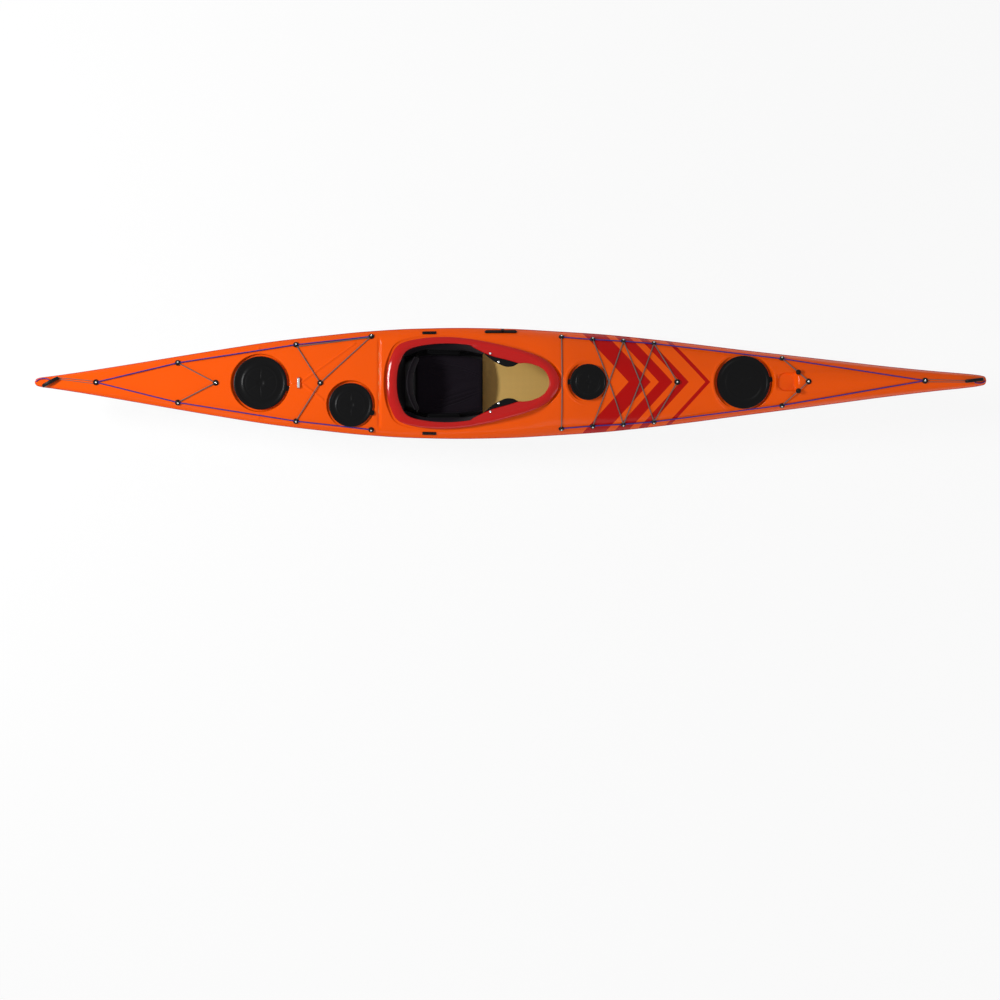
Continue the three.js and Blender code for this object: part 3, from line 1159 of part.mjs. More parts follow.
// Drops the points of a run that lie on a straight line between their neighbours
function lean(run) {
  return run.filter((p, i) => {
    if (i === 0 || i === run.length - 1) return true;
    const a = new THREE.Vector3().subVectors(p, run[i - 1]).normalize();
    const b = new THREE.Vector3().subVectors(run[i + 1], p).normalize();
    return a.dot(b) < 0.99997;
  });
}

function deckLine(name, shares) {
  let whole = solid(cord(lean(tautCord(shares.map(placeOf), LINE_DIAMETER)), LINE_DIAMETER));
  for (const share of shares) whole = whole.add(solid(fittingAt(share)));
  place(name, meshOf(whole), blueCord);
}
deckLine('deck_line_aft', AFT_LINE_SHARES);
deckLine('deck_line_fore', FORE_LINE_SHARES);

// A bungee is one elastic net: its strands meet at a crossing or at the fitting on the centre line, and
// its ends stop just clear of the fittings of the deck line. A tie joins two strands beside their fittings
const fittingGap = FITTING_DIAMETER / 2 + 2 * CLEARANCE;
function strand(from, to, endGap, startGap = fittingGap) {
  const way = to.clone().sub(from).normalize();
  const run = tautRun(
    from.clone().addScaledVector(way, startGap),
    to.clone().addScaledVector(way, -endGap),
    BUNGEE_DIAMETER,
    BUNGEE_STANDOFF,
    FITTING_HEIGHT / 2,
  );
  return solid(cord(lean(run), BUNGEE_DIAMETER));
}
function bungee(name, pairs, centreShare, ties = []) {
  const parts = pairs.map(([from, to]) => strand(placeOf(from), placeOf(to), centreShare ? 0 : fittingGap));
  for (const ends of ties) {
    const [from, to] = ends.map((share) => {
      const start = placeOf(share);
      return start.addScaledVector(placeOf(centreShare).sub(start).normalize(), fittingGap + BUNGEE_DIAMETER);
    });
    parts.push(strand(from, to, 0, 0));
  }
  if (centreShare) parts.push(solid(fittingAt(centreShare)));
  place(name, meshOf(parts.reduce((whole, part) => whole.add(part))), greyBungee);
}
const aft = AFT_LINE_SHARES;
const fore = FORE_LINE_SHARES;
const centre = CENTRE_FITTING_SHARES;
bungee('bungee_stern', [[aft[2], centre.stern], [aft[4], centre.stern]], centre.stern);
bungee('bungee_aft', [[aft[1], centre.aft], [aft[5], centre.aft], [aft[0], centre.aft]], centre.aft, [[aft[1], aft[0]]]);
bungee('bungee_fore_band', [[fore[0], fore[10]]]);
bungee('bungee_fore_cross_rear', [[fore[1], fore[8]], [fore[2], fore[9]]]);
bungee('bungee_fore_cross_front', [[fore[2], fore[7]], [fore[3], fore[8]]]);
bungee('bungee_fore_vee', [[fore[3], centre.fore], [fore[7], centre.fore]], centre.fore);
bungee('bungee_bow', [[fore[4], centre.bow], [fore[6], centre.bow]], centre.bow);

// Balls threaded on the bow bungee, to lift it for a paddle blade
for (const [side, hand] of [['port', 1], ['starboard', -1]]) {
  const from = placeOf(fore[hand > 0 ? 4 : 6]);
  const to = placeOf(centre.bow);
  const run = tautRun(from, to, BUNGEE_DIAMETER, BUNGEE_STANDOFF, FITTING_HEIGHT / 2);
  const middle = run[Math.round(run.length * BALL_SHARE)];
  const next = run[Math.round(run.length * BALL_SHARE) + 1];
  const radius = BALL_DIAMETER / 2;
  const boreRadius = BUNGEE_DIAMETER / 2 + 2 * CLEARANCE;
  const { normal } = deckFrame(middle.x, middle.y);
  const contacts = BALL_CONTACT_SHARES.flatMap((a) => BALL_CONTACT_SHARES.map((b) => {
    const reach = radius + CLEARANCE;
    return deckZ(middle.x + a * reach, middle.y + b * reach) + reach * Math.sqrt(1 - a * a - b * b);
  }));
  const lift = Math.max(0, ...contacts.map((z) => z - middle.z));
  const bore = new THREE.CylinderGeometry(boreRadius, boreRadius + lift, BALL_DIAMETER + OVERRUN, 8);
  bore.applyQuaternion(new THREE.Quaternion().setFromUnitVectors(
    new THREE.Vector3(0, 1, 0),
    next.clone().sub(middle).normalize(),
  ));
  bore.translate(middle.x, middle.y, middle.z);
  const ball = new THREE.SphereGeometry(radius, 12, 8)
    .applyQuaternion(new THREE.Quaternion().setFromUnitVectors(new THREE.Vector3(0, 1, 0), normal))
    .translate(middle.x, middle.y, middle.z + lift);
  place(`bungee_ball_${side}`, meshOf(solid(ball).subtract(solid(bore))), blackPlastic);
}

// Security bar on the aft deck, a strip bent into a bridge across the boat, with sloping legs
const BAR_OUTER_SHARES = [[-0.5, 0], [-0.36, 1], [0.36, 1], [0.5, 0]];
const BAR_INNER_SHARES = [[0.5, 0], [0.38, 1], [-0.38, 1], [-0.5, 0]];
const BAR_FEET_SHARES = [0, 0.13, 0.87, 1];
const barOutline = new THREE.Shape([
  ...BAR_OUTER_SHARES.map(([s, h]) => new THREE.Vector2(s * BAR_LENGTH, h * BAR_HEIGHT)),
  ...BAR_INNER_SHARES.map(([s, h]) => new THREE.Vector2(
    s * (BAR_LENGTH - 4 * BAR_THICKNESS),
    h * (BAR_HEIGHT - BAR_THICKNESS),
  )),
]);
const bar = new THREE.ExtrudeGeometry(barOutline, { depth: BAR_WIDTH, bevelEnabled: false })
  .rotateX(Math.PI / 2)
  .translate(0, BAR_WIDTH / 2, 0)
  .rotateZ(Math.PI / 2);
place('security_bar', seatOnDeck(bar, STERN_BULKHEAD_X - BAR_SETBACK, 0, CLEARANCE, BAR_FEET_SHARES), stainless);

// Strap buckles beside the cockpit, which set the backrest
for (const [side, hand] of [['port', 1], ['starboard', -1]]) {
  const plate = solid(box(BUCKLE_LENGTH, BUCKLE_WIDTH, BUCKLE_THICKNESS / 2).translate(0, 0, BUCKLE_THICKNESS / 4));
  const cleat = solid(box(BUCKLE_LENGTH / 2, BUCKLE_WIDTH * 0.7, BUCKLE_THICKNESS / 2 + CLEARANCE)
    .translate(0, 0, BUCKLE_THICKNESS * 0.75 - CLEARANCE / 2));
  const whole = seatOnDeck(meshOf(plate.add(cleat)), BUCKLE_X, hand * BUCKLE_Y, 2 * CLEARANCE);
  place(`strap_buckle_${side}`, whole, blackPlastic);
}

// Carry toggles: a half moon with a flat base, on a loop that is made fast in the end of the hull. A loop's
// route is given from that end of the boat, with its rise over the deck
function toggle(side, end, setback, yaw, loopRoute) {
  const x = end * (halfLength - setback);
  const ends = new THREE.Vector2(TOGGLE_LENGTH * Math.cos(yaw), TOGGLE_LENGTH * Math.sin(yaw));
  const under = [-0.5, -0.3, -0.1, 0.1, 0.3, 0.5].map((s) => deckZ(x + s * ends.x, s * ends.y));
  const baseZ = Math.max(...under) + 2 * CLEARANCE;
  const outline = new THREE.Shape();
  outline.moveTo(-TOGGLE_LENGTH / 2, 0);
  outline.lineTo(TOGGLE_LENGTH / 2, 0);
  outline.absellipse(0, 0, TOGGLE_LENGTH / 2, TOGGLE_HEIGHT, 0, Math.PI, false, 0);
  const bevel = TOGGLE_THICKNESS / 5;
  const body = new THREE.ExtrudeGeometry(outline, {
    depth: TOGGLE_THICKNESS - 2 * bevel,
    curveSegments: 5,
    bevelThickness: bevel,
    bevelSize: bevel,
    bevelOffset: -bevel,
    bevelSegments: 1,
  }).translate(0, 0, bevel - TOGGLE_THICKNESS / 2).rotateX(Math.PI / 2).rotateZ(yaw).translate(x, 0, baseZ);
  place(`toggle_${side}`, body, blackPlastic);
  const route = loopRoute.map(([back, y, lift]) => {
    const foot = end * (halfLength - back);
    return new THREE.Vector3(foot, y, deckZ(foot, y) + lift);
  });
  place(`toggle_loop_${side}`, cord(route, TOGGLE_LOOP_DIAMETER), blueCord);
}
toggle('bow', 1, BOW_TOGGLE_SETBACK, 0.12, [[60, -11.2, 10], [38, -14, 8], [22, -12, 5], [11, -4, 3.2]]);
toggle('stern', -1, STERN_TOGGLE_SETBACK, 0.5, [[74, 13, 10], [50, 18, 9], [26, 14, 6], [10, 3, 3.2]]);

export default kayak;
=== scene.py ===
"""Sea kayak: the visible boat over its CAD frame, laid out as a Blender add-on and run as a script."""
import math

import bpy
import numpy as np
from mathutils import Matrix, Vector
from mathutils.geometry import delaunay_2d_cdt


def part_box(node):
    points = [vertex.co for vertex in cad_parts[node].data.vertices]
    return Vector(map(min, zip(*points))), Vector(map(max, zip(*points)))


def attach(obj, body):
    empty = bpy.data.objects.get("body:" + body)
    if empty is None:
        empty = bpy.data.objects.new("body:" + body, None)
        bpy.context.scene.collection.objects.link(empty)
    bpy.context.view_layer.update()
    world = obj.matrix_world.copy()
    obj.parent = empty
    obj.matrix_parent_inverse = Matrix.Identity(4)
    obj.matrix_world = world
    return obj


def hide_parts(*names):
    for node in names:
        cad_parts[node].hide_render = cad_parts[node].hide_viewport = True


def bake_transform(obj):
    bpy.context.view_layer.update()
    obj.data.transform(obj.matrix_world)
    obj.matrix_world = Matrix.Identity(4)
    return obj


bl_info = {
    "name": "Sea Kayak",
    "version": (1, 0, 0),
    "blender": (4, 5, 0),
    "location": "3D View > Sidebar > Kayak",
    "description": "Builds the visible pieces of a sea kayak over its CAD frame",
    "category": "Add Mesh",
}

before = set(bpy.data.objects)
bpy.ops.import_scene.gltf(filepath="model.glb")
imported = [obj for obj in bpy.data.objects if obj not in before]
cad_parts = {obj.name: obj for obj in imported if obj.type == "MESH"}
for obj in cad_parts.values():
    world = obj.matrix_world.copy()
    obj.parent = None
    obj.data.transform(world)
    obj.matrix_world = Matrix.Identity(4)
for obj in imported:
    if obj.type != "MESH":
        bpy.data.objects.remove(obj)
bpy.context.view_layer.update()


def colour(text):
    """An sRGB hex colour as linear red, green, blue and alpha."""
    rgb = np.array([int(text[i:i + 2], 16) for i in (1, 3, 5)]) / 255
    linear = np.where(rgb <= 0.04045, rgb / 12.92, ((rgb + 0.055) / 1.055) ** 2.4)
    return (*linear.tolist(), 1.0)


def length(name, description, default):
    """A size in metres that a user may change."""
    return bpy.props.FloatProperty(name=name, description=description, default=default, unit="LENGTH",
                                   precision=4)


def paint(name, description, default):
    """A colour that a user may change, from sRGB hex."""
    return bpy.props.FloatVectorProperty(
        name=name, description=description, default=colour(default), subtype="COLOR", size=4, min=0, max=1)


class KayakSizes(bpy.types.PropertyGroup):
    """Sizes of the visible pieces"""
    wall: length("Laminate", "Thickness of the hull and the deck", 0.004)
    line: length("Deck line", "Diameter of the cord along the deck's edge", 0.006)
    bungee: length("Bungee", "Diameter of the shock cord", 0.005)
    keeper: length("Keeper", "Diameter of the thin cords that hold the toggles", 0.003)
    loop: length("Toggle loop", "Diameter of the cord of the carry toggles", 0.005)
    pull: length("Pull cord", "Diameter of the cord on the skeg's tip", 0.002)
    nose: length("Nose", "Radius that rounds the plan of both ends", 0.008)
    groove: length("Lid groove", "Depth of the ring pressed in each lid", 0.003)
    pleat: length("Pleat", "Depth of the channels sewn in the seat's cover", 0.005)


class KayakColours(bpy.types.PropertyGroup):
    """Colours of the boat"""
    deck: paint("Deck", "Gelcoat of the deck", "#FF5C08")
    bands: paint("Bands", "Bands across the foredeck", "#C00604")
    hull: paint("Hull", "Gelcoat of the hull", "#EFEEEE")
    trim: paint("Trim", "Coaming and seam strip", "#C20804")
    inside: paint("Inside", "Cloth laminate inside the boat", "#EAC26C")
    rubber: paint("Rubber", "Hatch lids", "#080809")
    plastic: paint("Plastic", "Fittings, toggles and footrests", "#0D0D0E")
    cover: paint("Cover", "Fabric of the seat and backrest", "#18121A")
    foam: paint("Foam", "Foam of the thigh and hip pads", "#0E0E10")
    line: paint("Deck line", "Braided line", "#2B2A86")
    bungee: paint("Bungee", "Sheathed shock cord", "#6C6762")
    pull: paint("Pull cord", "Thin cord on the skeg", "#C9506A")


# Lines of the boat, as in the CAD: the place as a share of the half length, then a share of the half beam
# or of the bow's height
HALF_LENGTH, HALF_BEAM, BOW_HEIGHT = 2.36, 0.28, 0.472
STRIP_OUT, STRIP_WIDTH = 0.0028, 0.026
SHELL_END = HALF_LENGTH - STRIP_OUT
HALF_BEAM_SHARES = [
    (-1, .03), (-.997, .055), (-.99, .08), (-.965, .11), (-.91, .18), (-.8, .335), (-.7, .48), (-.6, .62),
    (-.5, .75), (-.4, .85), (-.3, .935), (-.2, .985), (-.1, 1), (0, .985), (.1, .94), (.2, .885), (.3, .8),
    (.4, .7), (.5, .59), (.6, .485), (.7, .378), (.8, .27), (.9, .175), (.96, .125), (.985, .098),
    (.997, .07), (1, .04)]
KEEL_SHARES = [
    (-1, .53), (-.99, .36), (-.98, .285), (-.96, .246), (-.92, .229), (-.85, .195), (-.75, .15),
    (-.65, .108), (-.55, .073), (-.45, .049), (-.35, .0275), (-.25, .0106), (-.17, 0), (.08, 0),
    (.2, .0106), (.3, .0244), (.4, .055), (.5, .09), (.6, .128), (.7, .178), (.8, .25), (.85, .307),
    (.9, .398), (.94, .595), (.96, .702), (.98, .806), (1, .895)]
SEAM_SHARES = [
    (-1, .585), (-.91, .54), (-.83, .496), (-.75, .451), (-.665, .418), (-.58, .396), (-.5, .381),
    (-.42, .368), (-.34, .354), (-.25, .3475), (.08, .3475), (.17, .358), (.28, .377), (.365, .394),
    (.45, .432), (.53, .479), (.61, .541), (.7, .611), (.78, .684), (.86, .758), (.94, .838), (1, .907)]
CROWN_SHARES = [
    (-1, .655), (-.91, .633), (-.83, .597), (-.75, .561), (-.665, .532), (-.58, .511), (-.5, .501),
    (-.42, .5), (-.3, .494), (-.2, .498), (-.12, .53), (-.04, .593), (.04, .667), (.1, .714), (.13, .718),
    (.18, .705), (.28, .69), (.4, .681), (.5, .695), (.567, .727), (.61, .76), (.655, .788), (.735, .841),
    (.82, .896), (.9, .949), (.965, .992), (.985, 1), (1, .985)]
CHINE_OUT_SHARES = [(-1, .6), (-.9, .62), (-.7, .72), (-.4, .84), (.2, .84), (.5, .78), (.8, .62), (1, .5)]
CHINE_UP_SHARES = [(-1, .3), (-.8, .16), (-.6, .18), (-.3, .32), (0, .37), (.4, .42), (.8, .36), (1, .3)]
EDGE_OUT_SHARES = [(-1, .7), (-.69, .73), (-.45, .864), (-.29, .87), (.11, .84), (.575, .84), (1, .7)]
EDGE_UP_SHARES = [(-1, .75), (-.69, .86), (-.45, .66), (-.29, .58), (.11, .4), (.575, .55), (1, .65)]
LIP_SHARES = [(-.26, .516), (-.2, .514), (-.13, .52), (-.07, .552), (-.017, .61), (.034, .668),
              (.085, .702), (.112, .712)]
COAMING_SHARES = [
    (0, 0), (.022, .53), (.085, .86), (.2, .968), (.34, 1), (.48, .955), (.65, .825), (.82, .645),
    (.91, .49), (.97, .285), (1, 0)]
COAMING_REAR, COAMING_FRONT, COAMING_HALF = -0.606, 0.262, 0.231
COAMING_END, COAMING_SIDE, COAMING_HEIGHT, RECESS_MARGIN = 0.052, 0.033, 0.026, 0.015

# Hatches: place (x, y), radius of the lid, height of its top and the way its tab points
HATCHES = {
    "stern": (-1.24, 0, 0.134, 0.238, -0.2), "day": (-0.786, -0.11, 0.11, 0.236, -0.36),
    "pod": (0.404, 0, 0.09, 0.334, math.pi), "bow": (1.18, 0, 0.132, 0.31, 0.1)}
LID_HEIGHT, WELL_MARGIN, RIM_WIDTH = 0.02, 0.014, 0.022
# Walls of the wells: slope, how far inside the rim they start, and the soft corners at foot and top
WALL_SLOPE, WALL_START, WALL_FOOT, WELL_CORNER, RECESS_CORNER = 5, 0.004, 0.003, 0.005, 0.011
# Ridge round the aft half of the wells of the foredeck: rise, distance from the rim and width
RIDGE_RISE, RIDGE_OUT, RIDGE_WIDTH = 0.003, 0.009, 0.005
# Compass pocket: place, half length, half width and depth, then radius and depth of the seat in it
COMPASS = (1.388, 0.052, 0.049, 0.015, 0.044, 0.006)
POCKET_CORNER = 0.012

# Fittings of the deck lines from aft port to aft starboard and from fore port to fore starboard, as (x, y)
AFT_FITTINGS = np.array([
    (-.6844, .2346), (-1.062, .1921), (-1.652, .0994), (-2.0556, 0), (-1.652, -.0994), (-1.062, -.1921),
    (-.6844, -.2346)])
FORE_FITTINGS = np.array([
    (.273, .2296), (.4295, .217), (.5829, .2086), (.7363, .196), (1.3712, .1162), (2.0603, 0),
    (1.3712, -.1162), (.7363, -.196), (.5829, -.2086), (.4295, -.217), (.273, -.2296)])
CENTRE_FITTINGS = {"stern": (-1.4632, 0), "aft": (-.9393, 0), "fore": (.8472, 0), "bow": (1.4962, 0)}
# Height of a cord in its fitting, and of a fitting over the deck's surface
CORD_HEIGHT, FITTING_LIFT = 0.006, 0.0004
# Groove pressed across the deck behind the cockpit: place, depth, width, half length and fade of its ends
GROOVE_X, GROOVE_DEPTH, GROOVE_WIDTH, GROOVE_HALF, GROOVE_FADE = -0.6435, 0.005, 0.008, 0.235, 0.03
# Creases of the aft deck, from end to end
CREASE_RISE, CREASE_WIDTH = 0.0042, 0.005
CREASES = (((-1.024, 0.012), (-0.765, 0.2)), ((-1.024, -0.008), (-0.925, -0.085)),
           ((-1.085, 0.0), (-1.03, 0.006)), ((-1.247, 0.155), (-1.25, 0.176)),
           ((-1.247, -0.155), (-1.25, -0.176)))
# Flat spine forward of the compass: rear, front, half width and rise
SPINE_REAR, SPINE_FRONT, SPINE_HALF, SPINE_RISE = 1.42, 1.93, 0.058, 0.0025


def along(shares, t):
    """Cubic through a table's points, with harmonic mean slopes, so it turns only where the table does."""
    x, y = np.array(shares, float).T
    chord = np.diff(y) / np.diff(x)
    same = chord[:-1] * chord[1:] > 0
    inner = np.where(same, 2 * chord[:-1] * chord[1:] / np.where(same, chord[:-1] + chord[1:], 1), 0)
    slope = np.concatenate([chord[:1], inner, chord[-1:]])
    i = np.clip(np.searchsorted(x, t, side="right") - 1, 0, len(x) - 2)
    w = x[i + 1] - x[i]
    u = np.clip((t - x[i]) / w, 0, 1)
    bend = slope[i] * w * u * (1 - u) ** 2, slope[i + 1] * w * u * u * (u - 1)
    return y[i] + (y[i + 1] - y[i]) * u * u * (3 - 2 * u) + bend[0] + bend[1]


def across(s, v, q, flat_start=False):
    """The same cubic for each row of knots (s, v), at its places q; flat_start levels its first end."""
    step = np.maximum(np.diff(s, axis=1), 1e-9)
    chord = np.diff(v, axis=1) / step
    same = chord[:, :-1] * chord[:, 1:] > 0
    total = np.where(same, chord[:, :-1] + chord[:, 1:], 1)
    inner = np.where(same, 2 * chord[:, :-1] * chord[:, 1:] / total, 0)
    slope = np.concatenate([chord[:, :1] * (not flat_start), inner, chord[:, -1:]], axis=1)
    i = np.clip((q[:, :, None] >= s[:, None, 1:-1]).sum(-1), 0, s.shape[1] - 2)
    w, s0 = np.take_along_axis(step, i, 1), np.take_along_axis(s, i, 1)
    v0, v1 = np.take_along_axis(v, i, 1), np.take_along_axis(v, i + 1, 1)
    m0, m1 = np.take_along_axis(slope, i, 1), np.take_along_axis(slope, i + 1, 1)
    u = np.clip((q - s0) / w, 0, 1)
    return v0 + (v1 - v0) * u * u * (3 - 2 * u) + m0 * w * u * (1 - u) ** 2 + m1 * w * u * u * (u - 1)


def half_beam(x):
    """Half width of the shells: the table's line less the strip, times a quarter circle over each nose."""
    nose = bpy.context.scene.kayak_sizes.nose
    past = np.clip((np.abs(x) - (SHELL_END - nose)) / nose, 0, 1)
    shares = along(HALF_BEAM_SHARES, x / HALF_LENGTH)
    return (HALF_BEAM * shares - STRIP_OUT) * np.sqrt(np.maximum(1 - past * past, 1e-6))


def height(shares, x):
    """Height of one of the boat's lines: its share of the bow's height."""
    return BOW_HEIGHT * along(shares, x / HALF_LENGTH)


def soft_min(a, b, width):
    """The lower of two surfaces, with a parabola of the given width laid over the corner where they meet."""
    h = np.clip(0.5 + 0.5 * (b - a) / width, 0, 1)
    return b + (a - b) * h - width * h * (1 - h)


def base_deck(x, y):
    """Height of the plain deck: a cubic from the level crown over the deck's edge to the strip."""
    x, y = np.broadcast_arrays(np.asarray(x, float), np.abs(y))
    flat_x, t = x.ravel(), x.ravel() / HALF_LENGTH
    beam = half_beam(flat_x)
    low = height(SEAM_SHARES, flat_x) + STRIP_WIDTH
    crown = np.maximum(height(CROWN_SHARES, flat_x), low)
    edge_y = beam * along(EDGE_OUT_SHARES, t)
    edge_z = low + (crown - low) * along(EDGE_UP_SHARES, t)
    knots_y = np.stack([
        0 * beam, edge_y * 0.3, edge_y * 0.64, edge_y, beam - (beam - edge_y) * 0.38, beam], 1)
    knots_z = np.stack([
        crown, edge_z + (crown - edge_z) * 0.86, edge_z + (crown - edge_z) * 0.51, edge_z,
        low + (edge_z - low) * 0.5, low], 1)
    out = np.minimum(y.ravel(), beam)[:, None]
    return across(knots_y, knots_z, out, flat_start=True)[:, 0].reshape(x.shape)


def coaming_line(rear, front, half, count):
    """Closed outline of the cockpit: cubics through the table and its mirror, each slope the weighted mean of
    its chords over the root of their lengths."""
    half_line = np.array(COAMING_SHARES, float)
    p = np.concatenate([half_line, half_line[-2:0:-1] * (1, -1)])
    n = len(p)
    t = np.arange(count) / count * n
    i, u = t.astype(int) % n, (t % 1)[:, None]
    p0, p1, p2, p3 = p[(i - 1) % n], p[i], p[(i + 1) % n], p[(i + 2) % n]
    d0, d1, d2 = (np.sqrt(np.linalg.norm(b - a, axis=1))[:, None] for a, b in ((p0, p1), (p1, p2), (p2, p3)))
    m1 = ((p1 - p0) / d0 - (p2 - p0) / (d0 + d1) + (p2 - p1) / d1) * d1
    m2 = ((p2 - p1) / d1 - (p3 - p1) / (d1 + d2) + (p3 - p2) / d2) * d1
    q = p1 + m1 * u + (3 * (p2 - p1) - 2 * m1 - m2) * u ** 2 + (2 * (p1 - p2) + m1 + m2) * u ** 3
    return np.stack([rear + (front - rear) * q[:, 0], half * q[:, 1]], 1)


def outer_line(margin, count=180):
    """Outline of the coaming's lip, moved out by a margin."""
    return coaming_line(COAMING_REAR - margin, COAMING_FRONT + margin, COAMING_HALF + margin, count)


def inner_line(margin, count=180):
    """Outline of the cockpit opening, moved out by a margin."""
    return coaming_line(COAMING_REAR + COAMING_END - margin, COAMING_FRONT - COAMING_END + margin,
                        COAMING_HALF - COAMING_SIDE + margin, count)


def signed_distance(x, y, line):
    """Distance from each point to a closed line, the least over its chords, negative where an odd number of
    chords is crossed on the way out."""
    p = np.stack([np.ravel(x), np.ravel(y)], 1)[:, None]
    a, b = line[None], np.roll(line, -1, axis=0)[None]
    way = b - a
    share = np.clip(((p - a) * way).sum(-1) / (way * way).sum(-1), 0, 1)[..., None]
    distance = np.linalg.norm(p - a - way * share, axis=-1).min(1)
    over = (a[..., 1] > p[..., 1]) != (b[..., 1] > p[..., 1])
    crossing = a[..., 0] + way[..., 0] * (p[..., 1] - a[..., 1]) / np.where(way[..., 1] == 0, 1, way[..., 1])
    inside = (over & (p[..., 0] < crossing)).sum(1) % 2 == 1
    return np.where(inside, -distance, distance).reshape(np.shape(x))


def segment_distance(x, y, a, b):
    """Distance from each point to the straight run between two points."""
    a, b = np.array(a), np.array(b)
    p = np.stack([x, y], -1) - a
    share = np.clip((p @ (b - a)) / ((b - a) @ (b - a)), 0, 1)[..., None]
    return np.linalg.norm(p - share * (b - a), axis=-1)


def well_wall(distance, floor):
    """Steep wall that rises from a floor, with a soft foot, and passes the rim's distance 20 mm up."""
    climb = -soft_min(np.zeros_like(distance), -(distance + WALL_START), WALL_FOOT)
    return floor + WALL_SLOPE * climb


def deck_top(x, y):
    """Height of the moulded deck: the plain deck with its creases, lowered by the wells, each the soft
    minimum of the deck and floor + slope * distance."""
    x, y = np.broadcast_arrays(np.asarray(x, float), np.asarray(y, float))
    z = base_deck(x, y)
    ends = np.clip((GROOVE_HALF - np.abs(y)) / GROOVE_FADE, 0, 1)
    z = z - GROOVE_DEPTH * np.exp(-((x - GROOVE_X) / GROOVE_WIDTH) ** 2) * ends
    for a, b in CREASES:
        z = z + CREASE_RISE * np.exp(-(segment_distance(x, y, a, b) / CREASE_WIDTH) ** 2)
    spine = np.clip((x - SPINE_REAR) / 0.08, 0, 1) * np.clip((SPINE_FRONT - x) / 0.3, 0, 1)
    z = z + SPINE_RISE * spine * np.clip((SPINE_HALF - np.abs(y)) / 0.01, 0, 1)
    for px, py, radius, top, _ in HATCHES.values():
        d = np.hypot(x - px, y - py) - radius - WELL_MARGIN
        if px > 0:
            ridge = RIDGE_RISE * np.exp(-((d - RIDGE_OUT) / RIDGE_WIDTH) ** 2)
            z = z + ridge * np.clip((px - x) / radius, 0, 1)
        z = soft_min(z, well_wall(d, top - LID_HEIGHT), WELL_CORNER)
    near = (x > COAMING_REAR - 0.06) & (x < COAMING_FRONT + 0.06)
    if near.any():
        d = signed_distance(x[near], y[near], outer_line(RECESS_MARGIN))
        floor = height(LIP_SHARES, x[near]) - COAMING_HEIGHT
        z = z.copy()
        z[near] = soft_min(z[near], well_wall(d, floor), RECESS_CORNER)
    cx, half_x, half_y, depth, seat, seat_depth = COMPASS
    qx, qy = np.abs(x - cx) - half_x + POCKET_CORNER, np.abs(y) - half_y + POCKET_CORNER
    pocket = np.hypot(np.maximum(qx, 0), np.maximum(qy, 0)) + np.minimum(np.maximum(qx, qy), 0)
    pocket = pocket - POCKET_CORNER
    floor = height(CROWN_SHARES, np.array(cx)) - depth
    z = soft_min(z, floor + 1.3 * np.maximum(pocket + 0.009, 0), 0.004)
    return soft_min(z, floor - seat_depth + 3 * np.maximum(np.hypot(x - cx, y) - seat + 0.001, 0), 0.003)


def deck_frames(places):
    """Origin and the axes forward, across and up of the plain deck at each place, by central differences."""
    x, y = np.asarray(places, float).T
    h = 0.012
    up = np.stack([-(base_deck(x + h, y) - base_deck(x - h, y)) / (2 * h),
                   -(base_deck(x, y + h) - base_deck(x, y - h)) / (2 * h), np.ones_like(x)], 1)
    up /= np.linalg.norm(up, axis=1)[:, None]
    forward = np.array([1, 0, 0]) - up[:, :1] * up
    forward /= np.linalg.norm(forward, axis=1)[:, None]
    return np.stack([x, y, base_deck(x, y)], 1), np.stack([forward, np.cross(up, forward), up], 1)


def set_on_deck(points, places, lift=0.0):
    """Copies of a shape, turned to the deck at each place: place + up * lift + axes times the shape."""
    origin, axes = deck_frames(places)
    origin = origin + axes[:, 2] * lift
    return origin[:, None] + np.einsum("pk,nkc->npc", points, axes)


# Meshes

def angles(count):
    """Even angles round a full turn."""
    return np.arange(count) / count * 2 * math.pi


def unit_grid(rows, columns, start=0):
    """Two grids of even shares: from start to 1 along the rows and from 0 to 1 along the columns."""
    return np.meshgrid(np.linspace(start, 1, rows), np.linspace(0, 1, columns), indexing="ij")


def rounded(share):
    """Quarter circle that rises from 0 to 1 with its share: sqrt(1 - (1 - share)^2)."""
    return np.sqrt(1 - (1 - np.clip(share, 0, 1)) ** 2)


def moved_to(points, node):
    """Points moved so that the middle of their box is the middle of a CAD node's box."""
    low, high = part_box(node)
    return points + (np.array((low + high) / 2) - (points.min(0) + points.max(0)) / 2)


def grid_faces(rows, columns, wrap_rows=False, wrap_columns=False):
    """Quads between the neighbours of a grid of points, closed on itself where it wraps."""
    r = np.arange(rows if wrap_rows else rows - 1)[:, None]
    c = np.arange(columns if wrap_columns else columns - 1)[None]
    r2, c2 = (r + 1) % rows, (c + 1) % columns
    quads = [r * columns + c, r * columns + c2, r2 * columns + c2, r2 * columns + c]
    return np.stack(quads, -1).reshape(-1, 4)


def repeated(faces, count, stride):
    """The same faces for each copy of a shape, moved on by its number of points."""
    return (faces[None] + stride * np.arange(count)[:, None, None]).reshape(-1, faces.shape[1])


def joined(parts):
    """Several (points, faces) as one, each part's faces moved on by the points before it."""
    points, faces, count = [], [], 0
    for p, f in parts:
        p = np.asarray(p).reshape(-1, 3)
        points.append(p)
        faces += [[i + count for i in face] for face in (f.tolist() if isinstance(f, np.ndarray) else f)]
        count += len(p)
    return np.concatenate(points), faces


def turned(profile, sides=64):
    """A profile of (radius, height) turned about +Z: (r cos a, r sin a, z)."""
    r, z = np.array(profile, float).T
    angle = angles(sides)
    points = np.stack([
        r[:, None] * np.cos(angle), r[:, None] * np.sin(angle),
        np.broadcast_to(z[:, None], (len(r), sides))], -1)
    return points.reshape(-1, 3), grid_faces(len(r), sides, wrap_columns=True)


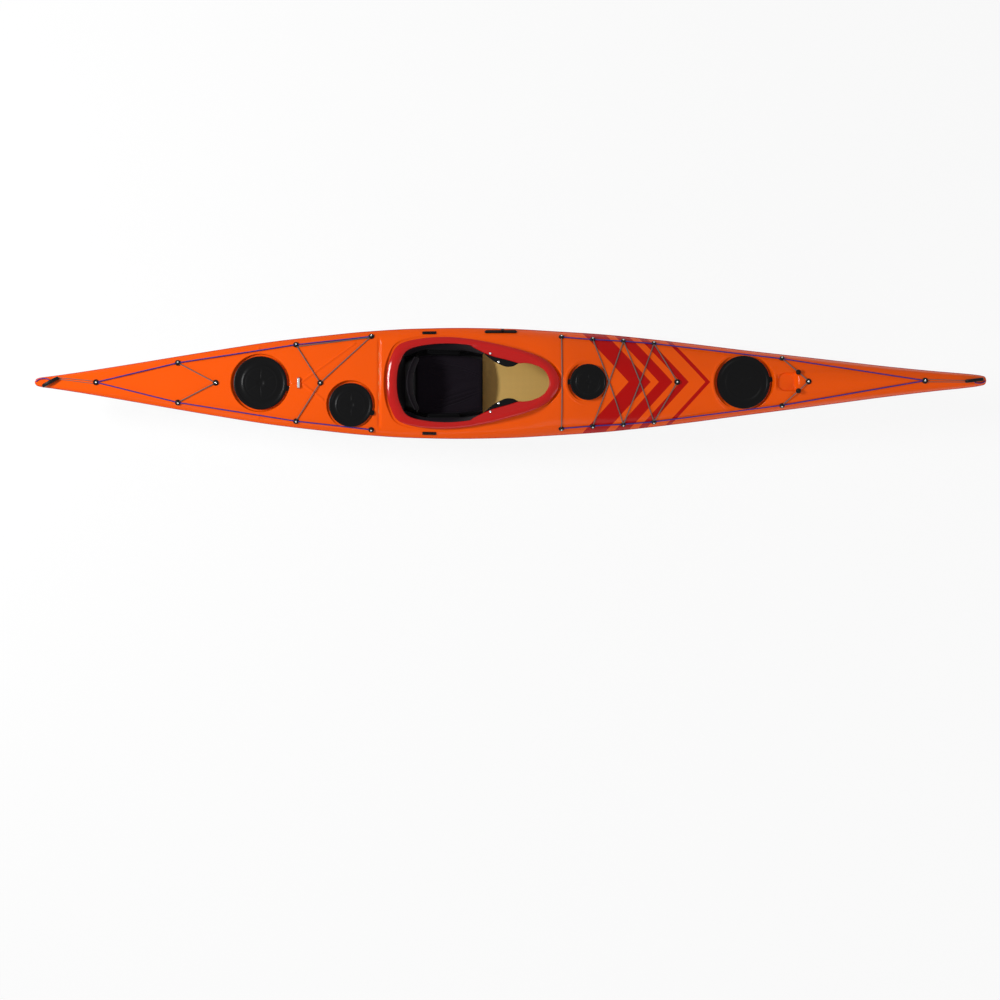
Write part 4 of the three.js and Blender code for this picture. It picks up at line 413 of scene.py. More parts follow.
def slab(front, back):
    """A closed sheet between two grids of points of the same size, with quads round its rim."""
    rows, columns = front.shape[:2]
    faces = grid_faces(rows, columns)
    half = rows * columns
    index = np.arange(half).reshape(rows, columns)
    rim = np.concatenate([index[:-1, 0], index[-1, :-1], index[:0:-1, -1], index[0, :0:-1]])
    after = np.roll(rim, -1)
    sides = np.stack([rim, after, half + after, half + rim], 1)
    points = np.concatenate([front.reshape(-1, 3), back.reshape(-1, 3)])
    return points, np.concatenate([faces, faces[:, ::-1] + half, sides[:, ::-1]])


def plate(outline, thickness, bevel):
    """A flat outline given thickness about z = 0, with quarter circles of the bevel's radius at its edges."""
    before, after = np.roll(outline, 1, axis=0), np.roll(outline, -1, axis=0)
    way = after - before
    normal = np.stack([way[:, 1], -way[:, 0]], 1) / np.linalg.norm(way, axis=1)[:, None]
    area = (outline[:, 0] * after[:, 1] - after[:, 0] * outline[:, 1]).sum()
    normal *= np.sign(area)
    turn = np.linspace(0, math.pi / 2, 5)
    inset = np.concatenate([bevel * (1 - np.sin(turn)), bevel * (1 - np.sin(turn[::-1]))])
    z = np.concatenate([-thickness / 2 + bevel * (1 - np.cos(turn)),
                        thickness / 2 - bevel * (1 - np.cos(turn[::-1]))])
    rings = outline[None] - normal[None] * inset[:, None, None]
    points = np.concatenate([rings, np.broadcast_to(z[:, None, None], rings.shape[:2] + (1,))], -1)
    count = len(outline)
    faces = grid_faces(len(z), count, wrap_columns=True).tolist()
    faces += [list(range(count))[::-1], list(range((len(z) - 1) * count, len(z) * count))]
    return points.reshape(-1, 3), faces


def tube(path, diameter, sides=10, up=(0, 0, 1)):
    """A round cord: rings square to the path's tangents, set out from a fixed up, each end drawn in."""
    path = np.asarray(path, float)
    path = np.concatenate([path[:1], path, path[-1:]])
    tangent = np.gradient(path[1:-1], axis=0)
    tangent = np.concatenate([tangent[:1], tangent, tangent[-1:]])
    tangent /= np.linalg.norm(tangent, axis=1)[:, None]
    side = np.cross(np.asarray(up, float), tangent)
    side /= np.linalg.norm(side, axis=1)[:, None]
    rise = np.cross(tangent, side)
    radius = np.full(len(path), diameter / 2)
    radius[[0, -1]] = diameter / 20
    angle = angles(sides)
    arm = side[:, None] * np.cos(angle)[None, :, None] + rise[:, None] * np.sin(angle)[None, :, None]
    points = (path[:, None] + arm * radius[:, None, None]).reshape(-1, 3)
    return points, grid_faces(len(path), sides, wrap_columns=True)


def spline(points, count):
    """A smooth run through a few points: the cubic of along() for each coordinate over the chord length."""
    points = np.asarray(points, float)
    s = np.concatenate([[0], np.cumsum(np.linalg.norm(np.diff(points, axis=0), axis=1))])
    t = np.linspace(0, s[-1], count)
    return np.stack([along(np.stack([s, points[:, k]], 1), t) for k in range(3)], 1)


def taut(start, end, lift, steps=40):
    """A cord drawn tight over the deck between two points (x, y, height over it): the highest of all chords
    of the deck's profile, raised by lift, so it is straight wherever the deck falls away."""
    s = np.linspace(0, 1, steps + 1)
    flat = np.outer(1 - s, start[:2]) + np.outer(s, end[:2])
    ground = deck_top(flat[:, 0], flat[:, 1]) + lift
    ground[0] += start[2] - lift
    ground[-1] += end[2] - lift
    i, j, k = np.meshgrid(*[np.arange(steps + 1)] * 3, indexing="ij")
    spread = np.where(j > i, j - i, 1)
    chord = ground[i] + (ground[j] - ground[i]) * (k - i) / spread
    z = np.where((i <= k) & (k <= j), np.where(i == j, ground[k], chord), -1).max((0, 1))
    return np.concatenate([flat, z[:, None]], 1)


def taut_run(places, lift, steps=40):
    """Tight runs from place to place, joined end to end."""
    runs = [taut(a, b, lift, steps) for a, b in zip(places[:-1], places[1:])]
    return np.concatenate([runs[0]] + [run[1:] for run in runs[1:]])


# Slot of the record for each finish
SLOTS = {
    "gelcoat_deck": "orange_gelcoat", "gelcoat_hull": "white_gelcoat", "gelcoat_trim": "red_gelcoat",
    "moulded_rubber": "black_rubber", "moulded_nylon": "black_plastic", "woven_cover": "navy_fabric",
    "cell_foam": "black_foam", "polished_stainless": "stainless", "braided_line": "blue_cord",
    "sheathed_bungee": "grey_bungee", "thin_cord": "pink_cord"}


def piece(name, points, faces, material, nodes=(), body="boat", slot=None, inner=None, closed=True):
    """A mesh object with smooth faces that point outwards, on its body and in place of its CAD nodes."""
    found = materials()
    mesh = bpy.data.meshes.new(name)
    faces = faces.tolist() if isinstance(faces, np.ndarray) else faces
    points = np.asarray(points).reshape(-1, 3)
    if closed:
        corner = np.array([[f[0], f[1], f[2]] for f in faces])
        quad = np.array([f for f in faces if len(f) == 4])
        a, b, c = (points[corner[:, k]] for k in range(3))
        volume = np.einsum("ij,ij->i", a, np.cross(b, c)).sum()
        if len(quad):
            a, b, c = points[quad[:, 0]], points[quad[:, 2]], points[quad[:, 3]]
            volume += np.einsum("ij,ij->i", a, np.cross(b, c)).sum()
        if volume < 0:
            faces = [f[::-1] for f in faces]
    mesh.from_pydata(points.tolist(), [], faces)
    mesh.shade_smooth()
    mesh.materials.append(found[material])
    if inner:
        mesh.materials.append(found[inner])
    mesh.update()
    made = bpy.data.objects.new(name, mesh)
    bpy.context.scene.collection.objects.link(made)
    slot = slot or SLOTS[material]
    if nodes:
        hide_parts(*nodes)
    if body:
        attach(made, body)
    return made


def walled(made, thickness):
    """Welds a skin's seams and gives it its wall, inward, with the second material inside and on the rims."""
    weld = made.modifiers.new("Seams", "WELD")
    weld.merge_threshold = 5e-5
    wall = made.modifiers.new("Wall", "SOLIDIFY")
    wall.thickness = thickness
    wall.offset = -1
    wall.material_offset = 1
    wall.material_offset_rim = 1


def sharp_by_angle(made, degrees=35):
    """Keeps edges sharper than an angle crisp, by splitting the shading there."""
    split = made.modifiers.new("Crisp edges", "EDGE_SPLIT")
    split.split_angle = math.radians(degrees)


# Materials

def add_node(tree, kind, settings=(), links=()):
    """Adds a node, sets its properties and input values, and links sources to its inputs."""
    node = tree.nodes.new(kind)
    for key, value in dict(settings).items():
        if isinstance(key, str) and key in node.bl_rna.properties:
            setattr(node, key, value)
        else:
            node.inputs[key].default_value = value
    for key, source in dict(links).items():
        tree.links.new(source, node.inputs[key])
    return node


def new_material(name, base, **settings):
    """The nodes and Principled shader of a new material, its values set on the shader's own sockets."""
    made = bpy.data.materials.new(name)
    made.use_nodes = True
    shader = made.node_tree.nodes["Principled BSDF"]
    shader.inputs["Base Color"].default_value = base
    for key, value in settings.items():
        shader.inputs[key.replace("_", " ").title().replace("Ior", "IOR")].default_value = value
    return made.node_tree, shader


def bump(tree, shader, source, strength, distance):
    """Feeds a height pattern to the shader as a bump."""
    made = add_node(tree, "ShaderNodeBump", {"Strength": strength, "Distance": distance}, {"Height": source})
    tree.links.new(made.outputs["Normal"], shader.inputs["Normal"])


def vary(tree, shader, base, source, low, high):
    """Scales the base colour between two factors by a pattern."""
    to = add_node(tree, "ShaderNodeMapRange", {"To Min": low, "To Max": high}, {"Value": source})
    mixed = add_node(tree, "ShaderNodeVectorMath", {"operation": "SCALE", 0: base[:3]},
                     {"Scale": to.outputs["Result"]})
    tree.links.new(mixed.outputs["Vector"], shader.inputs["Base Color"])


def noise(tree, scale, detail=2.0):
    """Noise on Object coordinates, with its scale in cells per metre."""
    place = add_node(tree, "ShaderNodeTexCoord")
    return add_node(tree, "ShaderNodeTexNoise", {"Scale": scale, "Detail": detail},
                    {"Vector": place.outputs["Object"]}).outputs["Fac"]


def gelcoat(name, base, roughness=0.12, shine=0.1):
    """Polyester gelcoat, sprayed in a polished mould: an even colour, a wet gloss and a faint ripple."""
    tree, shader = new_material(name, base, roughness=roughness, ior=1.45, specular_ior_level=shine)
    vary(tree, shader, base, noise(tree, 6), 0.97, 1.03)
    bump(tree, shader, noise(tree, 28, 1), 0.06, 0.002)
    return tree, shader


# Bands: middle and half width of each, in metres of x + BAND_LEAN * |y|
BANDS = ((0.66, 0.055), (0.79, 0.034), (0.885, 0.02), (1.0, 0.012))
BAND_LEAN = 0.9
# Sockets of a colour mix: its first and second colour, and the colour that comes out
MIX_FIRST, MIX_SECOND, MIX_OUT = 6, 7, 2


def banded_gelcoat(base, bands):
    """Orange gelcoat with red chevrons laid in the mould, where x + lean * |y| is near a band's middle."""
    tree, shader = gelcoat("gelcoat_deck", base)
    place = add_node(tree, "ShaderNodeTexCoord")
    axes = add_node(tree, "ShaderNodeSeparateXYZ", links={"Vector": place.outputs["Object"]})
    out = add_node(tree, "ShaderNodeMath", {"operation": "ABSOLUTE"}, {0: axes.outputs["Y"]})
    lean = add_node(tree, "ShaderNodeMath", {"operation": "MULTIPLY_ADD", 1: BAND_LEAN},
                    {0: out.outputs[0], 2: axes.outputs["X"]})
    total = None
    for middle, half in BANDS:
        band = add_node(tree, "ShaderNodeMath", {"operation": "COMPARE", 1: middle, 2: half},
                        {0: lean.outputs[0]})
        if total is None:
            total = band
        else:
            total = add_node(tree, "ShaderNodeMath", {"operation": "MAXIMUM"},
                             {0: total.outputs[0], 1: band.outputs[0]})
    old = shader.inputs["Base Color"].links[0].from_socket
    mix = add_node(tree, "ShaderNodeMix", {"data_type": "RGBA"}, {"Factor": total.outputs[0]})
    tree.links.new(old, mix.inputs[MIX_FIRST])
    mix.inputs[MIX_SECOND].default_value = bands
    tree.links.new(mix.outputs[MIX_OUT], shader.inputs["Base Color"])


# Scale of a wave texture whose bands repeat each metre
WAVE_SCALE = 0.314


def weave(tree, spacing):
    """Plain weave on Object coordinates: the product of two sets of sine bands, one thread wide."""
    place = add_node(tree, "ShaderNodeTexCoord")
    waves = [add_node(
        tree, "ShaderNodeTexWave", {"bands_direction": way, "Scale": WAVE_SCALE / spacing, "Distortion": 0.3},
        {"Vector": place.outputs["Object"]}) for way in ("X", "Y")]
    return add_node(tree, "ShaderNodeMath", {"operation": "MULTIPLY"},
                    {0: waves[0].outputs["Fac"], 1: waves[1].outputs["Fac"]}).outputs[0]


def materials():
    """All finishes of the boat, made once and then found by name."""
    if "gelcoat_deck" in bpy.data.materials:
        return {m.name: m for m in bpy.data.materials}
    paints = bpy.context.scene.kayak_colours
    # Polyester gelcoat: wet gloss
    banded_gelcoat(paints.deck[:], paints.bands[:])
    gelcoat("gelcoat_hull", paints.hull[:], shine=0.3)
    gelcoat("gelcoat_trim", paints.trim[:], 0.1, 0.24)
    # Glass and aramid cloth under clear resin: tan, with the weave of its 3 mm tows showing, satin
    tree, shader = new_material("cloth_laminate", paints.inside[:], roughness=0.55)
    cloth = weave(tree, 0.006)
    vary(tree, shader, paints.inside[:], cloth, 0.86, 1.08)
    bump(tree, shader, cloth, 0.25, 0.0006)
    # Moulded EPDM rubber: near black, satin, with a fine cast grain
    tree, shader = new_material("moulded_rubber", paints.rubber[:], roughness=0.28, specular_ior_level=0.09)
    grain = noise(tree, 260, 3)
    vary(tree, shader, paints.rubber[:], grain, 0.8, 1.25)
    bump(tree, shader, grain, 0.15, 0.0005)
    # Injection moulded nylon: black with a soft sheen
    tree, shader = new_material("moulded_nylon", paints.plastic[:], roughness=0.35, specular_ior_level=0.12)
    bump(tree, shader, noise(tree, 600, 2), 0.12, 0.0003)
    # Woven polyester cover: matt, with a fabric sheen and threads drawn 2 mm wide so that they show
    tree, shader = new_material("woven_cover", paints.cover[:], roughness=0.85, sheen_weight=0.08,
                                specular_ior_level=0.08)
    cloth = weave(tree, 0.002)
    vary(tree, shader, paints.cover[:], cloth, 0.75, 1.3)
    bump(tree, shader, cloth, 0.3, 0.0004)
    # Closed-cell foam: matt black with open skin pores
    tree, shader = new_material("cell_foam", paints.foam[:], roughness=0.8, specular_ior_level=0.08)
    pores = noise(tree, 420, 4)
    vary(tree, shader, paints.foam[:], pores, 0.7, 1.3)
    bump(tree, shader, pores, 0.4, 0.0006)
    # Stainless steel, polished: bright with faint brushing along the piece
    tree, shader = new_material("polished_stainless", colour("#C6C8CA"), roughness=0.18, metallic=1.0)
    bump(tree, shader, noise(tree, 900, 1), 0.05, 0.0002)
    # Anodised aluminium: satin grey
    tree, shader = new_material("anodised_aluminium", colour("#9EA2A6"), roughness=0.35, metallic=1.0)
    bump(tree, shader, noise(tree, 500, 2), 0.08, 0.0003)
    for name, base in (("braided_line", paints.line), ("sheathed_bungee", paints.bungee),
                       ("thin_cord", paints.pull)):
        # Braided polyester over a core: matt, its strands 1.5 mm across
        tree, shader = new_material(name, base[:], roughness=0.7, sheen_weight=0.1, specular_ior_level=0.2)
        strands = noise(tree, 500, 2)
        vary(tree, shader, base[:], strands, 0.7, 1.35)
        bump(tree, shader, strands, 0.5, 0.0006)
    return {m.name: m for m in bpy.data.materials}


# Shells

# Stations: distances from each end round the noses, then the last of the even ones, 16 mm apart
NOSE_STEPS = [0, 0.0003, 0.001, 0.002, 0.0035, 0.0055, 0.008, 0.0115, 0.016, 0.022, 0.03]
EVEN_END, EVEN_COUNT = 2.312, 290


def stations(extra=()):
    """Places along the boat: even ones, closer round both noses, and any extra."""
    close = SHELL_END - np.array(NOSE_STEPS)
    even = np.linspace(-EVEN_END, EVEN_END, EVEN_COUNT)
    return np.unique(np.concatenate([-close, even, close, np.array(extra, float)]))


CAMERA_PLACE, CAMERA_LENS, CAMERA_REACH = (-0.036, -0.5885, 11.4), 80, 100


class KAYAK_OT_camera(bpy.types.Operator):
    """Puts the camera straight above the boat, as the photograph's plan view is seen"""
    bl_idname = "kayak.camera"
    bl_label = "Camera"

    def execute(self, context):
        data = bpy.data.cameras.new("camera")
        data.lens, data.sensor_width, data.clip_end = CAMERA_LENS, 36, CAMERA_REACH
        made = bpy.data.objects.new("camera", data)
        made.location = CAMERA_PLACE
        context.scene.collection.objects.link(made)
        context.scene.camera = made
        return {"FINISHED"}


class KAYAK_OT_pull_cord(bpy.types.Operator):
    """Thin cord that hangs from the skeg's tip, with its knot"""
    bl_idname = "kayak.pull_cord"
    bl_label = "Pull cord"

    def execute(self, context):
        diameter = context.scene.kayak_sizes.pull
        route = [(-1.815, 0, -.077), (-1.821, 0, -.096), (-1.828, .001, -.11), (-1.822, 0, -.124),
                 (-1.814, -.001, -.138), (-1.819, 0, -.152), (-1.824, 0, -.166), (-1.823, 0, -.181)]
        path = spline(route, 40)
        knot_points, knot_faces = turned(
            [(0.0001, -.003), (.0018, -.0024), (.003, -.0008), (.0024, .0002), (.003, .0012),
             (.0018, .0026), (.0001, .003)], 16)
        knot = piece("pull_cord_knot", knot_points + path[-6], knot_faces, "thin_cord", body="skeg")
        made = piece("pull_cord", *tube(path, diameter, 8, up=(0, 1, 0)), "thin_cord", ["skeg_pull_cord"],
                     body="skeg")
        return {"FINISHED"}


# Ends of the skeg's slot, its half width, the half width of the keel's flat and the share of it left open
SKEG_SLOT, SLOT_HALF, KEEL_FLAT, SLOT_SHARE = (-1.9553, -1.5807), 0.0093, 0.012, 0.775


class KAYAK_OT_hull(bpy.types.Operator):
    """Hull shell: a section of a flat keel, a soft chine and a flared side, carried along the boat"""
    bl_idname = "kayak.hull"
    bl_label = "Hull"

    def execute(self, context):
        x = stations(SKEG_SLOT)
        t = x / HALF_LENGTH
        beam, keel, seam = half_beam(x), height(KEEL_SHARES, x), height(SEAM_SHARES, x)
        chine_y = beam * along(CHINE_OUT_SHARES, t)
        chine_z = keel + (seam - keel) * along(CHINE_UP_SHARES, t)
        flat = np.minimum(KEEL_FLAT, chine_y / 2)
        # From the joint down the side, round the chine and in to the keel
        y = np.stack([beam, beam, chine_y + (beam - chine_y) * .76, chine_y + (beam - chine_y) * .46, chine_y,
                      flat + (chine_y - flat) * .6, flat, flat * 0], 1)
        z = np.stack([
            seam + STRIP_WIDTH / 2, seam, chine_z + (seam - chine_z) * .67, chine_z + (seam - chine_z) * .33,
            chine_z, keel + (chine_z - keel) * .42, keel, keel], 1)
        chords = np.hypot(np.diff(y, axis=1), np.diff(z, axis=1)) + 1e-5
        s = np.concatenate([np.zeros((len(x), 1)), np.cumsum(chords, 1)], 1)
        share = np.concatenate([np.linspace(0, 1, 30)[:-1] * 0.97, [0.97]])
        q = share[None] * s[:, -2:-1]
        half_y, half_z = across(s, y, q), across(s, z, q)
        edge = np.stack([np.full(len(x), SLOT_HALF), np.zeros(len(x))], 1)
        edge = np.minimum(edge, flat[:, None] * SLOT_SHARE)
        half_y = np.concatenate([half_y, y[:, -2:-1], edge], 1)
        half_z = np.concatenate([half_z, z[:, -2:-1], np.repeat(keel[:, None], 2, 1)], 1)
        whole_y = np.concatenate([half_y, -half_y[:, -2::-1]], 1)
        whole_z = np.concatenate([half_z, half_z[:, -2::-1]], 1)
        rows, columns = whole_y.shape
        points = np.stack([np.broadcast_to(x[:, None], whole_y.shape), whole_y, whole_z], -1).reshape(-1, 3)
        faces = grid_faces(rows, columns)
        middle = columns // 2
        column = faces.min(1) % columns
        row = faces.min(1) // columns
        in_slot = (x[row] >= SKEG_SLOT[0] - 1e-6) & (x[row] < SKEG_SLOT[1] - 1e-6)
        in_slot &= np.abs(column - middle + 0.5) < 1
        made = piece("hull", points, faces[~in_slot][:, ::-1], "gelcoat_hull", ["hull_shell"],
                     inner="cloth_laminate", closed=False)
        walled(made, context.scene.kayak_sizes.wall)
        return {"FINISHED"}


# The plan is joined up with its half beam drawn to this width, so that its triangles follow both edges
PLAN_WIDTH = 0.25


class KAYAK_OT_deck(bpy.types.Operator):
    """Deck shell: the height of deck_top() over a plan of even points, with close rings round each well"""
    bl_idname = "kayak.deck"
    bl_label = "Deck"

    def execute(self, context):
        x = stations()
        v = np.concatenate([np.linspace(0, 0.8, 17), [.84, .875, .905, .93, .95, .965, .98, .99, 1]])
        v = np.concatenate([-v[:0:-1], v])
        gx, gv = np.meshgrid(x, v, indexing="ij")
        base = np.stack([gx.ravel(), gv.ravel() * half_beam(gx).ravel()], 1)
        base_v = gv.ravel()
        keep = np.ones(len(base), bool)
        rings = []
        for px, py, radius, _, _ in HATCHES.values():
            well = radius + WELL_MARGIN
            hole = radius - RIM_WIDTH
            past_rim = np.concatenate([[-.009, -.0065], np.arange(-.005, .0141, .001), [.0165, .02]])
            steps = np.concatenate([[hole, hole + .01, hole + .022], well + past_rim])
            angle = angles(150)
            ring = [px + steps[:, None] * np.cos(angle), py + steps[:, None] * np.sin(angle)]
            rings.append(np.stack(ring, -1).reshape(-1, 2))
            d = np.hypot(base[:, 0] - px, base[:, 1] - py)
            keep &= d > steps[-1] + 0.004
        out = [outer_line(RECESS_MARGIN + m, 220) for m in (
            -.02, -.009, -.0065, -.005, -.004, -.003, -.002, -.001, 0, .001, .002, .003, .004, .0055, .0075,
            .01, .0135)]
        inn = [inner_line(m, 220) for m in (0.0043, 0.012)]
        rings += out + inn
        keep &= signed_distance(base[:, 0], base[:, 1], out[-1]) > 0.004
        cx, half_x, half_y, _, seat, _ = COMPASS
        fine_x = np.linspace(cx - half_x - .008, cx + half_x + .008, 56)
        fine_y = np.linspace(-half_y - .008, half_y + .008, 54)
        fine = np.stack(np.meshgrid(fine_x, fine_y, indexing="ij"), -1).reshape(-1, 2)
        keep &= ~((np.abs(base[:, 0] - cx) < half_x + .01) & (np.abs(base[:, 1]) < half_y + .01))
        bow = HATCHES["bow"]
        fine = fine[np.hypot(fine[:, 0] - bow[0], fine[:, 1]) > bow[2] + WELL_MARGIN + .002]
        strip_x, strip_y = GROOVE_X + np.arange(-.018, .0181, .002), np.linspace(-.236, .236, 45)
        strips = [np.stack(np.meshgrid(strip_x, strip_y, indexing="ij"), -1).reshape(-1, 2)]
        for a, b in CREASES:
            way = np.subtract(b, a)
            size = np.linalg.norm(way)
            side = np.array([-way[1], way[0]]) / size
            steps = np.linspace(-.012 / size, 1 + .012 / size, max(6, int(size / .006)))
            offsets = np.array([-.013, -.009, -.006, -.003, 0, .003, .006, .009, .013])
            strip = np.array(a) + steps[:, None, None] * way + offsets[None, :, None] * side
            strips.append(strip.reshape(-1, 2))
        strips = np.concatenate(strips)
        free = signed_distance(strips[:, 0], strips[:, 1], out[-1]) > .002
        for px, py, radius, _, _ in HATCHES.values():
            free &= np.hypot(strips[:, 0] - px, strips[:, 1] - py) > radius + WELL_MARGIN + .015
        rings += [strips[free], fine]
        ring_points = np.concatenate(rings)
        ring_v = ring_points[:, 1] / half_beam(ring_points[:, 0])
        good = np.abs(ring_v) < 0.992
        box_x, box_y = np.abs(ring_points[:, 0] - cx), np.abs(ring_points[:, 1])
        of_pocket = np.arange(len(ring_points)) >= len(ring_points) - len(fine)
        good &= ~((box_x < half_x + .01) & (box_y < half_y + .01)) | of_pocket
        flat = np.concatenate([base[keep], ring_points[good]])
        flat_v = np.concatenate([base_v[keep], ring_v[good]])
        plane = np.stack([flat[:, 0], flat_v * PLAN_WIDTH], 1)
        made = delaunay_2d_cdt([tuple(p) for p in plane.tolist()], [], [], 0, 1e-7)
        place = np.array([tuple(p) for p in made[0]])
        faces = np.array(made[2])
        px, pv = place[:, 0], place[:, 1] / PLAN_WIDTH
        py = pv * half_beam(px)
        middle_x, middle_y = px[faces].mean(1), py[faces].mean(1)
        drop = signed_distance(middle_x, middle_y, inner_line(0.0042)) < 0
        for hx, hy, radius, _, _ in HATCHES.values():
            drop |= np.hypot(middle_x - hx, middle_y - hy) < (radius - RIM_WIDTH) * 0.9985
        drop |= (np.abs(pv[faces]) > 0.9999).all(1)
        top = np.stack([px, py, deck_top(px, py)], 1)
        faces = faces[~drop]
        along_plan, across_plan = px[faces], pv[faces]
        turn = (along_plan[:, 1] - along_plan[:, 0]) * (across_plan[:, 2] - across_plan[:, 0])
        turn -= (along_plan[:, 2] - along_plan[:, 0]) * (across_plan[:, 1] - across_plan[:, 0])
        faces[turn < 0] = faces[turn < 0][:, ::-1]
        parts = [(top, faces)]
        for hand in (1, -1):
            low = height(SEAM_SHARES, x) + STRIP_WIDTH
            skirt = np.stack([np.stack([x, hand * half_beam(x), low - d], 1) for d in (0, STRIP_WIDTH / 2)])
            quads = grid_faces(2, len(x))
            parts.append((skirt, quads if hand > 0 else quads[:, ::-1]))
        points, faces = joined(parts)
        made = piece("deck", points, faces, "gelcoat_deck", ["deck_shell"], inner="cloth_laminate",
                     closed=False)
        walled(made, context.scene.kayak_sizes.wall)
        return {"FINISHED"}


class KAYAK_OT_seam_strip(bpy.types.Operator):
    """Strip over the joint of hull and deck: a rounded band carried round the whole plan"""
    bl_idname = "kayak.seam_strip"
    bl_label = "Seam strip"

    def execute(self, context):
        x = stations()
        loop = np.concatenate([np.stack([x, -half_beam(x)], 1), np.stack([x, half_beam(x)], 1)[::-1]])
        way = np.roll(loop, -1, axis=0) - np.roll(loop, 1, axis=0)
        normal = np.stack([way[:, 1], -way[:, 0]], 1) / np.linalg.norm(way, axis=1)[:, None]
        section = np.array([(.0003, 0), (.0016, .0003), (.0025, .0018), (.0028, .005), (.0028, .021),
                            (.0025, .0242), (.0016, .0257), (.0003, .026)])
        flat = loop[None] + normal[None] * section[:, 0][:, None, None]
        z = height(SEAM_SHARES, loop[:, 0])[None] + section[:, 1][:, None]
        points = np.concatenate([flat, z[..., None]], -1)
        piece("seam_strip_band", points, grid_faces(len(section), len(loop), True, True), "gelcoat_trim",
              ["seam_strip"])
        return {"FINISHED"}


THIGH_REACH_SHARES = [(0, .04), (.13, .45), (.29, .82), (.44, .95), (.6, .96), (.76, 1), (.86, .72),
                      (1, .42), (1.2, .24), (1.4, 0)]
THIGH_BULGE_SHARES = [(0, .1), (.18, .48), (.4, .82), (.62, 1), (.82, .72), (1, .05)]
# Thigh flange: rear end, length of its table, farthest reach in from the opening and drop there
THIGH_REAR, THIGH_LENGTH, THIGH_REACH, THIGH_DROP = -0.19, 0.32, 0.038, 0.017


def thigh_reach(x):
    """How far a thigh flange stands in from the riser, zero away from it."""
    u = (x - THIGH_REAR) / THIGH_LENGTH
    return THIGH_REACH * along(THIGH_REACH_SHARES, u) * np.clip(u / 0.06, 0, 1)


class KAYAK_OT_coaming(bpy.types.Operator):
    """Coaming: one closed section of lip, thigh flange and riser carried round the cockpit"""
    bl_idname = "kayak.coaming"
    bl_label = "Coaming"

    def execute(self, context):
        count = 320
        outer, inner, riser = outer_line(0, count), inner_line(0, count), inner_line(0.004, count)
        reach = thigh_reach(inner[:, 0]) * np.clip((np.abs(inner[:, 1]) - 0.05) / 0.05, 0, 1)
        tip = inner - np.stack([0 * reach, np.sign(inner[:, 1]) * reach], 1)
        part = np.clip(reach / 0.008, 0, 1)
        drop = THIGH_DROP * reach / THIGH_REACH

        def at(a, b, share, fall):
            p = a + (b - a) * share
            return np.concatenate([p, (height(LIP_SHARES, p[:, 0]) - fall)[:, None]], 1)

        rings = [
            at(outer, inner, 0, .0125), at(outer, inner, 0, .011), at(outer, inner, .02, .0096),
            at(outer, inner, .07, .0082), at(outer, inner, .15, .0064), at(outer, inner, .25, .0044),
            at(outer, inner, .36, .0024), at(outer, inner, .48, .0009), at(outer, inner, .6, .0001),
            at(outer, inner, .72, .0004), at(outer, inner, .84, .0018), at(outer, inner, .94, .0038),
            at(inner, tip, 0, .005), at(inner, tip, .25, .0056 + drop * .22),
            at(inner, tip, .55, .006 + drop * .52), at(inner, tip, .85, .0066 + drop * .85),
            at(inner, tip, .97, .0074 + drop), at(inner, tip, 1, .0082 + drop + .001 * part),
            at(inner, tip, .94, .0088 + drop + .0028 * part),
            at(inner, tip, .6, .009 + drop * .6 + .003 * part), at(inner, tip, 0, .0105),
            at(inner, inner, 0, .044), at(riser, riser, 0, .044), at(riser, riser, 0, .011),
            at(outer, inner, .5, .0075), at(outer, inner, .12, .0115), at(outer, inner, .03, .0138)]
        points = np.stack(rings)
        piece("coaming", points, grid_faces(len(rings), count, True, True), "gelcoat_trim",
              ["cockpit_coaming"])
        return {"FINISHED"}


# Lids: number and depth of the channels that cross the middle, thickness and bevel of the tab
LID_RIBS, RIB_DEPTH, TAB_THICKNESS, TAB_BEVEL = 6, .0011, .005, .0015


